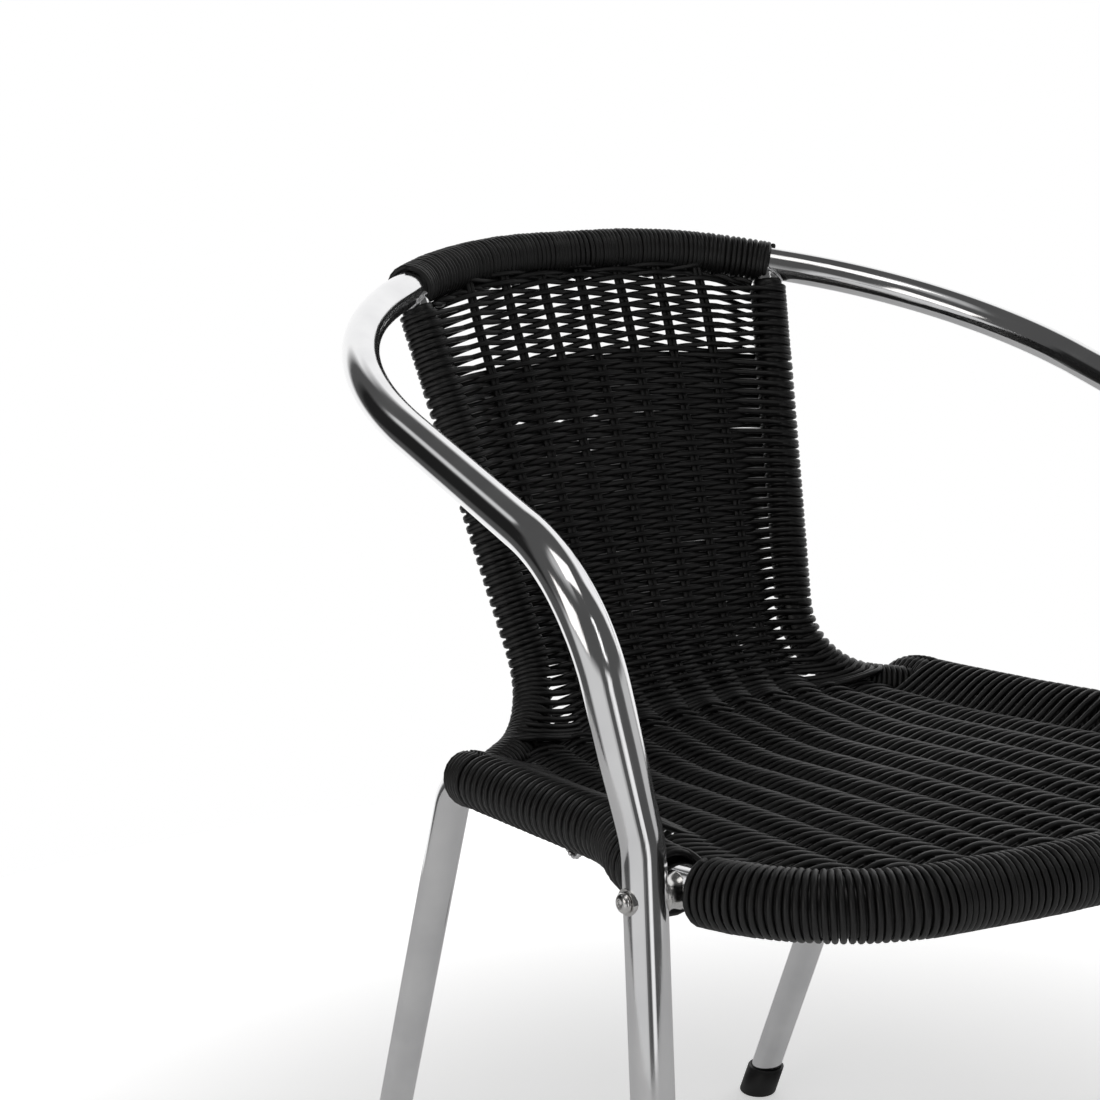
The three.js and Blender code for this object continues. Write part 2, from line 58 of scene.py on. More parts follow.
def make_camera():
    """Looks along (-sin yaw cos pitch, cos yaw cos pitch, -sin pitch)."""
    cy, sy = math.cos(CAMERA_YAW), math.sin(CAMERA_YAW)
    cp, sp = math.cos(CAMERA_PITCH), math.sin(CAMERA_PITCH)
    ahead = Vector((-sy * cp, cy * cp, -sp))
    level = Vector((cy, sy, 0.0))
    down = ahead.cross(level)
    cr, sr = math.cos(CAMERA_ROLL), math.sin(CAMERA_ROLL)
    right = level * cr + down * sr
    down = down * cr - level * sr
    cam = bpy.data.objects.new("photo_camera", bpy.data.cameras.new("photo_camera"))
    bpy.context.scene.collection.objects.link(cam)
    cam.data.lens, cam.data.sensor_width = CAMERA_LENS, CAMERA_SENSOR
    cam.data.clip_start, cam.data.clip_end = CAMERA_CLIP
    turn = Matrix((right, -down, -ahead)).transposed()
    cam.matrix_world = Matrix.Translation(Vector(CAMERA_AT) * MM) @ turn.to_4x4()
    bpy.context.scene.camera = cam


make_camera()

# Arm and front leg tube: one 24 mm aluminium tube, bent round a former into back rail, arms and front
# legs, then polished along its length. The legs come out a little fuller between the hand and knee bends.
TUBE = 12.0
TUBE_SIDES = 48
TUBE_STEP = 2.5
BEND_STEP = math.radians(1.0)
CAP_BASE = 5.0
ALONG_STEP = 1.5
ARM_CORNERS = [(84, 261, 726), (146, 231, 713), (271, 137, 682), (268, -161, 582), (249, -184, 441),
               (259, -207, 0)]
ARM_BENDS = [230, 110, 262, 95, 80]
FULL_TOP, FULL_FOOT, FULL_FADE, FULLER = 600.0, 450.0, 45.0, 0.07
LEGS_AHEAD_OF = -100.0
MIRROR = np.array([-1.0, 1.0, 1.0])
UP = np.array([0.0, 0.0, 1.0])
SKEW = np.array([-0.6, 0.0, 0.8])
CLOUD_DETAIL, CLOUD_FROM, CLOUD_TO, LINE_DETAIL = 3.0, 0.3, 0.7, 2.0


def unit(v):
    """Vectors along the last axis divided by their length."""
    return v / np.linalg.norm(v, axis=-1, keepdims=True)


def bend(before, corner, after, radius):
    """The arc of this radius that touches both straight runs, as a turn of the vector from its centre."""
    back, on = unit(before - corner), unit(after - corner)
    half = math.acos(float(back @ on)) / 2
    centre = corner + unit(back + on) * radius / math.sin(half)
    first = corner + back * radius / math.tan(half) - centre
    last = corner + on * radius / math.tan(half) - centre
    sweep = math.pi - 2 * half
    t = np.linspace(0, 1, max(3, int(sweep / BEND_STEP)))[:, None]
    return centre + (np.sin((1 - t) * sweep) * first + np.sin(t * sweep) * last) / math.sin(sweep)


def run_lengths(points):
    """Each point's distance from the first one: the running sum of the steps between them."""
    return np.r_[0, np.cumsum(np.linalg.norm(np.diff(points, axis=0), axis=1))]


class Line:
    """A centre line of close points that can be read at any distance along it."""

    def __init__(self, points):
        """Keeps the points with their distances along the line."""
        self.points = points
        self.runs = run_lengths(points)
        self.length = self.runs[-1]

    def at(self, s):
        """The place at distance s, straight between the points."""
        return np.stack([np.interp(s, self.runs, self.points[:, k]) for k in range(3)], axis=-1)

    def along(self, s):
        """The direction at distance s, from just before it to just after."""
        return unit(self.at(np.asarray(s) + ALONG_STEP) - self.at(np.asarray(s) - ALONG_STEP))

    def run_where(self, axis, value, start=0.0):
        """Distance along the line at which this coordinate first takes the value, past start."""
        off = self.points[:, axis] - value
        crosses = (off[:-1] * off[1:] <= 0) & (off[:-1] != off[1:]) & (self.runs[1:] > start)
        i = np.argmax(crosses)
        return self.runs[i] + (self.runs[i + 1] - self.runs[i]) * off[i] / (off[i] - off[i + 1])


def bent_line(corners, radii):
    """Straight runs joined by arcs."""
    c = [np.array(p, float) for p in corners]
    arcs = [bend(c[i], c[i + 1], c[i + 2], r) for i, r in enumerate(radii)]
    return Line(np.vstack([c[0][None], *arcs, c[-1][None]]))


def two_sided(corners, radii, middle=()):
    """The whole symmetric tube from the -X foot to the +X foot; middle is an extra corner and its bend."""
    left = [(-x, y, z) for x, y, z in corners[::-1]]
    return bent_line(left + list(middle[:1]) + corners, radii[::-1] + list(middle[1:]) + radii)


def mirrored(line):
    """The same line on the chair's other side."""
    return Line(line.points * MIRROR)


def ring_axes(points, across):
    """Two unit vectors square to the path: across less its share along the path, and their cross product."""
    t = unit(np.gradient(points, axis=0))
    n = unit(across - t * np.sum(t * across, -1, keepdims=True))
    return n, np.cross(t, n)


def ring_quads(rows, sides):
    """Quads between rings of points that close round, and the ring and side where each quad starts."""
    i, j = np.meshgrid(np.arange(rows - 1), np.arange(sides), indexing="ij")
    k = (j + 1) % sides
    quads = np.stack([i * sides + j, i * sides + k, (i + 1) * sides + k, (i + 1) * sides + j], -1)
    return i, j, quads.reshape(-1, 4)


def corner_uvs(u0, u1, v0, v1):
    """The UVs of each quad's corners, in its own order."""
    pairs = (u0, v0), (u1, v0), (u1, v1), (u0, v1)
    return np.stack([np.stack(pair, -1) for pair in pairs], 2).reshape(-1, 2)


def tube_arrays(points, radius, sides, across=UP):
    """Rings p + r (cos a n + sin a b) along a path, closed at both ends: vertices, quads and corner UVs."""
    n, b = ring_axes(points, across)
    turn = np.linspace(0, 2 * np.pi, sides, endpoint=False)[None, :, None]
    r = np.broadcast_to(np.asarray(radius, float), (len(points),))[:, None, None]
    verts = (points[:, None] + r * (np.cos(turn) * n[:, None] + np.sin(turn) * b[:, None])).reshape(-1, 3)
    i, j, quads = ring_quads(len(points), sides)
    run = run_lengths(points) * MM
    uvs = corner_uvs(j / sides, (j + 1) / sides, run[i], run[i + 1])
    m = np.arange(0, sides, 2)
    first = np.stack([np.full(len(m), len(verts)), (m + 2) % sides, m + 1, m], -1)
    last = np.stack([np.full(len(m), len(verts) + 1), m, m + 1, (m + 2) % sides], -1)
    last[:, 1:] += (len(points) - 1) * sides
    uvs = np.vstack([uvs, np.zeros((len(m) * 8, 2))])
    return np.vstack([verts, points[:1], points[-1:]]), np.vstack([quads, first, last]), uvs


def put_mesh(name, verts, quads, uvs, material, slot, stands_for=(), tone=0.5):
    """A smooth mesh in metres on the chair's own body, turned outwards where its volume is negative."""
    a, b, c, d = (verts[quads[:, k]] for k in range(4))
    volume = np.sum(np.cross(a, b) * c) + np.sum(np.cross(a, c) * d)
    if volume < 0:
        quads = quads[:, ::-1]
        uvs = uvs.reshape(-1, 4, 2)[:, ::-1].reshape(-1, 2)
    mesh = bpy.data.meshes.new(name)
    mesh.vertices.add(len(verts))
    mesh.vertices.foreach_set("co", (verts * MM).astype(np.float32).ravel())
    mesh.loops.add(quads.size)
    mesh.loops.foreach_set("vertex_index", quads.astype(np.int32).ravel())
    mesh.polygons.add(len(quads))
    mesh.polygons.foreach_set("loop_start", np.arange(0, quads.size, 4, dtype=np.int32))
    mesh.update(calc_edges=True)
    mesh.uv_layers.new(name="UVMap").uv.foreach_set("vector", uvs.astype(np.float32).ravel())
    tones = np.broadcast_to(np.asarray(tone, np.float32), (len(verts),))
    mesh.attributes.new("tone", "FLOAT", "POINT").data.foreach_set("value", np.ascontiguousarray(tones))
    mesh.validate()
    mesh.shade_smooth()
    mesh.materials.append(material)
    piece = bpy.data.objects.new(name, mesh)
    bpy.context.scene.collection.objects.link(piece)
    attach(piece, "root")
    if stands_for:
        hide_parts(*stands_for)


def add_node(tree, kind, inputs=(), **settings):
    """A new node with these settings. Each input is given a value or a link from another node's output."""
    node = tree.nodes.new("ShaderNode" + kind)
    for setting, value in settings.items():
        setattr(node, setting, value)
    for label, value in dict(inputs).items():
        if isinstance(value, bpy.types.NodeSocket):
            tree.links.new(value, node.inputs[label])
        else:
            node.inputs[label].default_value = value
    return node


def math_node(tree, operation, first, second, clamp=False):
    """A sum on two numbers or sockets, as the socket of its result."""
    node = add_node(tree, "Math", {0: first, 1: second}, operation=operation, use_clamp=clamp)
    return node.outputs["Value"]


def effect_group(name, inputs, outputs):
    """A node group with these sockets and their start values, where None marks a colour: the group, the
    sockets that it reads and those that it feeds."""
    group = bpy.data.node_groups.new(name, "ShaderNodeTree")
    for in_out, sockets in (("INPUT", inputs), ("OUTPUT", outputs)):
        for label, start in sockets.items():
            kind = "NodeSocketColor" if start is None else "NodeSocketFloat"
            socket = group.interface.new_socket(label, in_out=in_out, socket_type=kind)
            if start is not None:
                socket.default_value = start
    return group, group.nodes.new("NodeGroupInput").outputs, group.nodes.new("NodeGroupOutput").inputs


def cloudy_group():
    """Soft clouds on Object coordinates that mix two colours and two roughnesses."""
    group, given, out = effect_group(
        "cloudy_finish", dict(Scale=30.0, Shift=0.0, Dark=None, Light=None, Glossy=0.2, Dull=0.4),
        dict(Color=None, Roughness=0.0))
    coords = add_node(group, "TexCoord")
    clouds = add_node(group, "TexNoise", {"Vector": coords.outputs["Object"], "Scale": given["Scale"],
                                          "Detail": CLOUD_DETAIL})
    shifted = math_node(group, "ADD", clouds.outputs["Fac"], given["Shift"])
    spread = add_node(group, "MapRange", {"Value": shifted, "From Min": CLOUD_FROM, "From Max": CLOUD_TO})
    share = spread.outputs["Result"]
    tint = add_node(group, "Mix", {"Factor": share, "A": given["Dark"], "B": given["Light"]},
                    data_type="RGBA")
    rough = add_node(group, "MapRange", {"Value": share, "To Min": given["Glossy"], "To Max": given["Dull"]})
    group.links.new(tint.outputs["Result"], out["Color"])
    group.links.new(rough.outputs["Result"], out["Roughness"])
    return group


def drawn_group():
    """Fine lines along a drawn tube or cord: noise stretched along the second UV, as a bump height."""
    group, given, out = effect_group("drawn_lines", {"Lines Round": 40.0, "Lines Along": 3.0},
                                     {"Height": 0.0})
    coords = add_node(group, "TexCoord")
    parts = add_node(group, "SeparateXYZ", {"Vector": coords.outputs["UV"]})
    place = add_node(group, "CombineXYZ", {
        axis: math_node(group, "MULTIPLY", parts.outputs[axis], given[label])
        for axis, label in (("X", "Lines Round"), ("Y", "Lines Along"))})
    lines = add_node(group, "TexNoise", {"Vector": place.outputs["Vector"], "Scale": 1.0,
                                         "Detail": LINE_DETAIL})
    group.links.new(lines.outputs["Fac"], out["Height"])
    return group


CLOUDY, DRAWN = cloudy_group(), drawn_group()


def add_bump(tree, shader, height, strength, distance):
    """Feeds a height through a Bump node to the shader's Normal."""
    bump = add_node(tree, "Bump", {"Strength": strength, "Distance": distance, "Height": height})
    tree.links.new(bump.outputs["Normal"], shader.inputs["Normal"])


def finished_material(name, metallic, **values):
    """A material with a cloudy finish of these values: itself, its node tree, shader and finish."""
    mat = bpy.data.materials.new(name)
    mat.use_nodes = True
    tree = mat.node_tree
    shader = tree.nodes["Principled BSDF"]
    shader.inputs["Metallic"].default_value = metallic
    finish = add_node(tree, "Group", values, node_tree=CLOUDY)
    tree.links.new(finish.outputs["Color"], shader.inputs["Base Color"])
    tree.links.new(finish.outputs["Roughness"], shader.inputs["Roughness"])
    return mat, tree, shader, finish


def polished_aluminium():
    """Polished tube: bright, with faint smears and fine lines drawn along it."""
    mat, tree, shader, _ = finished_material(
        "polished_aluminium", 1.0, Scale=24.0, Dark=(0.76, 0.76, 0.77, 1), Light=(0.86, 0.86, 0.865, 1),
        Glossy=0.06, Dull=0.13)
    lines = add_node(tree, "Group", {"Lines Round": 150.0, "Lines Along": 3.0}, node_tree=DRAWN)
    add_bump(tree, shader, lines.outputs["Height"], strength=0.12, distance=0.0002)
    return mat


polished_mat = polished_aluminium()


def smooth_step(t):
    """3t^2 - 2t^3 between 0 and 1."""
    t = np.clip(t, 0, 1)
    return t * t * (3 - 2 * t)


def standing_tube(name, line, fuller, node):
    """A tube whose ends stop inside the foot caps; fuller is the radius factor along the front legs."""
    points = line.at(np.arange(0, line.length, TUBE_STEP))
    points = points[points[:, 2] > CAP_BASE]
    z = points[:, 2]
    leg = smooth_step((FULL_TOP - z) / FULL_FADE) * smooth_step((z - FULL_FOOT) / FULL_FADE)
    radius = TUBE * (1 + fuller * (leg * (points[:, 1] < LEGS_AHEAD_OF)))
    put_mesh(name, *tube_arrays(points, radius, TUBE_SIDES, SKEW), polished_mat, "polished_aluminium", [node])


arm_line = two_sided(ARM_CORNERS, ARM_BENDS)
standing_tube("arm_tube_polished", arm_line, FULLER, "arm_and_front_leg_tube")

# Seat and rear leg tube: the second 24 mm tube, bent into front rail, waisted side rails and rear legs.
# Only the rear legs and a short length beside each corner bolt stay bare of cord.
SEAT_CORNERS = [(278, -259, 417.5), (199, -92, 410.5), (192, 117.5, 398), (185, 293, 0)]
SEAT_BENDS = [112, 145, 45]
SEAT_MIDDLE, SEAT_MIDDLE_BEND = (0, -297, 411), 620
seat_line = two_sided(SEAT_CORNERS, SEAT_BENDS, (SEAT_MIDDLE, SEAT_MIDDLE_BEND))
standing_tube("seat_tube_polished", seat_line, 0.0, "seat_and_rear_leg_tube")

# Back rods: two 20 mm tubes welded under the back rail, bent at the foot of the back and welded out
# to the side rails. Bare tube shows only as a collar under the back rail, with its weld bead.
ROD = 10.0
ROD_CORNERS = [(153.5, 225.5, 710.5), (109, 135, 412), (192.5, 85, 399.6)]
ROD_BENDS = [65]
ROD_TOP_INSET, ROD_END_INSET, ROD_AIM = 5.0, 8.0, 30.0
WELD, WELD_SCALES, WELD_SWELL, WELD_SIDES, WELD_POINTS = 1.7, 15, 0.16, 10, 96
WELD_SKEW = np.array([0.3, 0.9, 0.1])
SIDES = ("right", 1), ("left", MIRROR)
rod_line = bent_line(ROD_CORNERS, ROD_BENDS)


def weld_ring(rod_at, rod_along, tube_at, tube_along, rod_radius):
    """Where a round rod meets a round tube: p + s t with |w|^2 = R^2, w the part square to the tube."""
    a = np.linspace(0, 2 * np.pi, WELD_POINTS, endpoint=False)[:, None]
    n, b = ring_axes(np.stack([rod_at, rod_at + rod_along]), WELD_SKEW)
    p = rod_at + rod_radius * (np.cos(a) * n[0] + np.sin(a) * b[0]) - tube_at
    w = p - (p @ tube_along)[:, None] * tube_along
    t = rod_along - (rod_along @ tube_along) * tube_along
    half, rest = w @ t, np.sum(w * w, 1) - TUBE**2
    s = (-half - np.sqrt(np.maximum(half**2 - (t @ t) * rest, 0.0))) / (t @ t)
    return p + tube_at + s[:, None] * rod_along


def weld_bead(name, ring):
    """A closed bead along the ring with the scalloped swell of a torch weld."""
    closed = np.vstack([ring, ring[:1]])
    swell = WELD * (1 + WELD_SWELL * np.cos(np.linspace(0, 2 * np.pi * WELD_SCALES, len(closed))))
    put_mesh(name, *tube_arrays(closed, swell, WELD_SIDES, unit(closed - closed.mean(0))), weld_mat,
             "polished_aluminium")


def weld_aluminium():
    """Cast bead metal: paler and rougher than the polished tube."""
    return finished_material("weld_aluminium", 1.0, Scale=400.0, Dark=(0.6, 0.6, 0.61, 1),
                             Light=(0.85, 0.85, 0.86, 1), Glossy=0.22, Dull=0.4)[0]


weld_mat = weld_aluminium()
rod_run = arm_line.run_where(0, ROD_CORNERS[0][0], arm_line.length / 2)
rod_points = rod_line.at(np.arange(ROD_TOP_INSET, rod_line.length - ROD_END_INSET, TUBE_STEP))
rod_ring = weld_ring(rod_line.at(ROD_AIM), -rod_line.along(ROD_AIM), arm_line.at(rod_run),
                     arm_line.along(rod_run), ROD)
for side, turn in SIDES:
    put_mesh(side + "_rod_polished", *tube_arrays(rod_points * turn, ROD, TUBE_SIDES), polished_mat,
             "polished_aluminium", [side + "_back_rod"])
    weld_bead(side + "_rod_weld", rod_ring * turn)

# Cross tube: a straight 16 mm aluminium tube that ties the side rails together. It is welded low between
# them, clear of the woven seat.
CROSS = 8.0
CROSS_Y, CROSS_DROP, CROSS_INSET, CROSS_POINTS = -32.0, 16.0, 4.0, 60
ACROSS = np.array([1.0, 0.0, 0.0])
cross_run = seat_line.run_where(1, CROSS_Y, seat_line.length / 2)
cross_end = seat_line.at(cross_run) - [CROSS_INSET, 0, CROSS_DROP]
cross_share = np.linspace(-1, 1, CROSS_POINTS)[:, None]
cross_points = cross_end * [0, 1, 1] + cross_end * ACROSS * cross_share
put_mesh("cross_tube_polished", *tube_arrays(cross_points, CROSS, TUBE_SIDES), polished_mat,
         "polished_aluminium", ["seat_cross_tube"])
cross_ring = weld_ring(cross_end * [0.5, 1, 1], ACROSS, seat_line.at(cross_run),
                       seat_line.along(cross_run), CROSS)
for side, turn in SIDES:
    weld_bead(side + "_cross_weld", cross_ring * turn)

# Woven back: single round cords of black extruded plastic run across, over and under seven pairs of
# upright stakes of the same cord, and each turns round both back rods. The top rows are worked loosely
# and let light through; those below are packed closer, with a few places where cords have parted.
CORD, CORD_CLOSE, CORD_SIDES, CORD_SPREAD, TONE_SHIFT = 1.93, 2.16, 10, 0.02, 0.12
PANEL_TOP, ROD_TOP_CLEAR, BACK_TOP = 14.0, 2.0, 1.5
RAIL_BOW, RAIL_RISE, SEAT_SAG, BOW_POWER = 30.0, 14.0, 2.5, 1.5
SWEEP_FILL, SWEEP_REACH = 12.0, 115.0
BACK_STAKES, STAKE_HALF_GAP, STAKE_STEP = 3, 1.8, 4.0
PITCH_TOP, PITCH_CORNER, PITCH_STEADY_FROM, PITCH_STEADY_TO = 33.0, 27.2, 40.0, 250.0
WEFT_LIFT, LIFT_SPREAD, POINTS_PER_PITCH = 2.9, 0.05, 8
OPEN_FOOT, OPEN_FADE = 68.0, 4.0
OPEN_PITCH, CLOSE_PITCH = 3.42, 3.75
OPEN_SWAY, OPEN_SQUEEZE = -0.42, 2.2
SWAY = ([14, 22, OPEN_FOOT, OPEN_FOOT + OPEN_FADE, 150, 200, 250, 300],
        [0, OPEN_SWAY, OPEN_SWAY, 0.28, 0.2, 0.15, 0.16, 0.5])
SWAY_ACROSS = ([-100, -50, 0, 100], [0.48, 0.8, 1.0, 1.08])
LEFT_LEAD = 0.7
ROW_JITTER_OPEN, ROW_JITTER_CLOSE = 0.15, 0.04
TUCKED_ROWS = (5.5, 9.0, 12.4, 15.8)
TUCKED_HALF, TUCKED_RISE, TUCKED_POWER, TUCKED_POINTS = 112.0, 11.0, 6, 72
WEFT_TOP = 19.2
WANDER, WANDER_OPEN, WANDER_CLOSE = 0.45, 0.16, 0.07
WAVE_ACROSS, WAVE_DOWN, WAVE_OWN, ANY_PHASE = 31.0, 19.0, 12.0, 6.3
ROD_TURN, TURN_POINTS, TURN_ADVANCE, BRIDGE_POINTS = (0.0, 1.62), 16, 3.0, 9
JUST_INSIDE = 0.999
PARTED = np.array([
    (-81, 108), (-47, 114), (-16, 113), (-61, 129), (-31, 128), (95, 128), (-61, 136), (-30, 135),
    (57, 254), (57, 261), (57, 269), (57, 277), (57, 285), (90, 285), (90, 292), (86, 300),
    (79, 305), (85, 310), (74, 314), (82, 320), (72, 322), (80, 330), (128, 84), (126, 93)], float)
PART_REACH, PART_WIDTH, PART_PUSH = 2.6, 2.7, 1.6
corner_end = rod_line.runs[-2]
corner_point = rod_line.at(corner_end)
rng = np.random.default_rng(7)


def sweep_fill(away):
    """How far the weave's middle stands off the corner: half a cosine of the distance from it."""
    return SWEEP_FILL * (1 + np.cos(np.pi * np.clip(away / SWEEP_REACH, 0, 1))) / 2


def back_point(x, v):
    """The rod's place at v, bowed, raised and filled out in proportion to 1 - (x / edge)^2."""
    edge = rod_line.at(v)
    share = np.clip((v - PANEL_TOP) / (corner_end - PANEL_TOP), 0, 1)
    fade = (1 - share) ** BOW_POWER
    fill = sweep_fill(np.linalg.norm(edge - corner_point, axis=-1))
    way = unit(rod_line.along(np.maximum(v, ROD_TOP_CLEAR)) * [0, 1, 1])
    bulge = 1 - (x / edge[..., 0]) ** 2
    y = edge[..., 1] + (RAIL_BOW * fade + way[..., 2] * fill) * bulge
    z = edge[..., 2] + (RAIL_RISE * fade - SEAT_SAG * share - way[..., 1] * fill) * bulge
    return np.stack([x + 0 * v, y, z], -1)


def back_axes(x, v):
    """Unit vectors out of the back towards the sitter, and down it."""
    across = back_point(x + 1, v) - back_point(x - 1, v)
    down = back_point(x, v + 1) - back_point(x, v - 1)
    return unit(np.cross(down, across)), unit(down)


def back_pitch(v):
    """The distance between stakes, which closes evenly down the back."""
    return np.interp(v, [PITCH_STEADY_FROM, PITCH_STEADY_TO], [PITCH_TOP, PITCH_CORNER])


def turn_round(centre, along, front, outward, radius, sign, advance, first, last, count):
    """A cord's turn round a rail: from the front or back (sign) it goes out and round behind."""
    a = np.linspace(first, last, count)[:, None] * math.pi
    travel = advance * (a - first * math.pi) / (2 * math.pi)
    return centre + along * travel + radius * (np.cos(a) * front * sign + np.sin(a) * outward)


def bridge(p0, p1, d0, d1):
    """The points between two ends: the cubic blend of their places and directions."""
    t = np.linspace(0, 1, BRIDGE_POINTS)[1:-1, None]
    reach = np.linalg.norm(p1 - p0)
    h00, h10 = 2 * t**3 - 3 * t**2 + 1, t**3 - 2 * t**2 + t
    h01, h11 = -2 * t**3 + 3 * t**2, t**3 - t**2
    return h00 * p0 + h10 * d0 * reach + h01 * p1 + h11 * d1 * reach


def rod_turn(v, sign, lead):
    """The turn of one back cord round the right rod. On the rod's inner side it stands lead further along,
    and behind its outer side in its place: lead (1 + cos(4a / 3)) / 2."""
    centre, along = rod_line.at(v), rod_line.along(v)
    front = back_axes(centre[0] * JUST_INSIDE, np.asarray(v))[0]
    front = unit(front - along * (front @ along))
    outward = unit(np.cross(front, along))
    outward = outward if outward[0] > 0 else -outward
    turn = turn_round(centre, along, front, outward, ROD + CORD, sign, TURN_ADVANCE, *ROD_TURN, TURN_POINTS)
    a = np.linspace(*ROD_TURN, TURN_POINTS) * math.pi
    return turn + along * (lead * (1 + np.cos(4 * a / 3)) / 2)[:, None]


def parting(x, v):
    """How far cords are pushed up or down beside each parted place: a bell across, a fading step down it."""
    dx, dv = x[:, None] - PARTED[:, 0], np.atleast_1d(v)[:, None] - PARTED[:, 1]
    push = PART_PUSH * np.sign(dv) * np.exp(-np.abs(dv) / PART_REACH) * np.exp(-(dx / PART_WIDTH) ** 2)
    return push.sum(1)


def back_middle(x, v, parity):
    """The middle of a cord: the back's surface plus a wave of WEFT_LIFT cos(pi x / pitch) out of it. Cords
    also sway along it: where the weave is open sharply at a stake, sway |cos|^squeeze cos, and below by
    sway cos with its own share at each x."""
    own = WANDER_OPEN if np.mean(v) < OPEN_FOOT else WANDER_CLOSE
    wander = WANDER * np.sin(x / WAVE_ACROSS + v / WAVE_DOWN)
    wander = wander + own * np.sin(x / WAVE_OWN + rng.random() * ANY_PHASE)
    wave = parity * np.cos(np.pi * x / back_pitch(v)) * (1 + LIFT_SPREAD * rng.standard_normal())
    sway = np.interp(v, *SWAY)
    squeeze = np.where(sway < 0, np.abs(wave) ** OPEN_SQUEEZE, np.interp(x, *SWAY_ACROSS))
    place = np.maximum(v + wander + parting(x, v), BACK_TOP)
    out, down = back_axes(x, place)
    return back_point(x, place) + WEFT_LIFT * (out * wave[:, None] + down * (sway * squeeze * wave)[:, None])


def back_weft(v, parity):
    """One cord from the left rod to the right one. Below the open rows its turns lead along the rods as
    its waves sway, on the right by the turn's radius times the sway."""
    reach = BACK_STAKES * back_pitch(v)
    middle = back_middle(np.linspace(-reach, reach, 2 * BACK_STAKES * POINTS_PER_PITCH + 1), v, parity)
    right_lead = (ROD + CORD) * max(np.interp(v, *SWAY), 0.0) * SWAY_ACROSS[1][-1]
    left_lead = smooth_step((v - OPEN_FOOT) / OPEN_FADE) * LEFT_LEAD
    right = rod_turn(v, parity, parity * right_lead)
    left = rod_turn(v + parity * left_lead, parity, 0.0) * MIRROR
    bridge_r = bridge(middle[-1], right[0], unit(middle[-1] - middle[-2]), unit(right[1] - right[0]))
    bridge_l = bridge(middle[0], left[0], unit(middle[0] - middle[1]), unit(left[1] - left[0]))
    return np.vstack([left[::-1], bridge_l[::-1], middle, bridge_r, right])


def tucked_weft(v, parity):
    """A short cord under the back rail: both ends bend up into the winding, by TUCKED_RISE share^6."""
    x = np.linspace(-TUCKED_HALF, TUCKED_HALF, TUCKED_POINTS)
    return back_middle(x, v - TUCKED_RISE * np.abs(x / TUCKED_HALF) ** TUCKED_POWER, parity)


def cords(name, rows, stands_for=()):
    """Round cords in one mesh, from rows of path, radius and across; each gets its own size and tone."""
    parts, base = [], 0
    for path, radius, across in rows:
        size = radius * (1 + CORD_SPREAD * rng.standard_normal())
        verts, quads, uvs = tube_arrays(path, size, CORD_SIDES, across)
        parts.append((verts, quads + base, uvs + rng.random(), np.full(len(verts), rng.random())))
        base += len(verts)
    verts, quads, uvs, tone = (np.concatenate(column) for column in zip(*parts))
    put_mesh(name, verts, quads, uvs, cord_mat, "wicker_cord", stands_for, tone)


def black_cord():
    """Satin extruded cord: charcoal black, each length a little different, faint drawn lines."""
    mat, tree, shader, finish = finished_material(
        "black_cord", 0.0, Scale=55.0, Dark=(0.004, 0.004, 0.0042, 1), Light=(0.0085, 0.0084, 0.0084, 1),
        Glossy=0.36, Dull=0.5)
    tone = add_node(tree, "Attribute", attribute_name="tone")
    shift = add_node(tree, "MapRange", {"Value": tone.outputs["Fac"], "To Min": -TONE_SHIFT,
                                        "To Max": TONE_SHIFT})
    tree.links.new(shift.outputs["Result"], finish.inputs["Shift"])
    lines = add_node(tree, "Group", {"Lines Round": 50.0, "Lines Along": 80.0}, node_tree=DRAWN)
    add_bump(tree, shader, lines.outputs["Height"], strength=0.22, distance=0.0003)
    return mat


cord_mat = black_cord()
back_rows = []
for v in TUCKED_ROWS:
    back_rows.append((tucked_weft(v, 1 if len(back_rows) % 2 else -1), CORD, rod_line.along(v)))
v = WEFT_TOP
while v < corner_end - 1:
    jitter, radius, pitch = ((ROW_JITTER_OPEN, CORD, OPEN_PITCH) if v < OPEN_FOOT
                             else (ROW_JITTER_CLOSE, CORD_CLOSE, CLOSE_PITCH))
    path = back_weft(v + jitter * rng.standard_normal(), 1 if len(back_rows) % 2 else -1)
    back_rows.append((path, radius, rod_line.along(v)))
    v += pitch
half = len(back_rows) // 2
stake_v = np.arange(ROD_TOP_CLEAR, corner_end + 1, STAKE_STEP)
cords("back_weave_cords", back_rows[:half], ["back_weave", "right_upright_wrap", "left_upright_wrap"])
cords("back_weave_cords_low", back_rows[half:])
cords("back_stakes", [(back_point(k * back_pitch(stake_v) + side * STAKE_HALF_GAP, stake_v), CORD, ACROSS)
                      for k in range(-BACK_STAKES, BACK_STAKES + 1) for side in (-1, 1)])

# Woven seat: the same cords carry on forward over and under eleven pairs of stakes, with one more pair
# at each side in front. Each cord turns round both side rails, over the dark layer beneath.
SEAT_STAKES, SEAT_LIFT = 5, 3.2
SEAT_PITCHES = ([-280, -120, 0, 50, 90], [30.5, 30.0, 28.9, 28.4, 27.4])
ROW_PITCHES = ([-230, -170, -110, -60], [4.7, 4.45, 4.12, 3.85])
FRONT_ROW, BEHIND_CORNER = -281.0, 2.0
EDGE_CLEAR, OUTER_CLEAR, OUTER_STAKE_FROM, OUTER_STAKE_INSET = 11.0, 17.0, -116.0, 27.0
ROLL, UNDER_TURN = TUBE + 5.1, 0.9
RAIL_TURN, REAR_TURN, RAIL_TURN_POINTS, RAIL_ADVANCE = (-0.12, 1.72), (0.0, 1.95), 22, -3.3
REAR_TURN_PITCH, REAR_TURN_FROM, LAST_TURN_LOOSE = 3.7, 1.5, 2.5
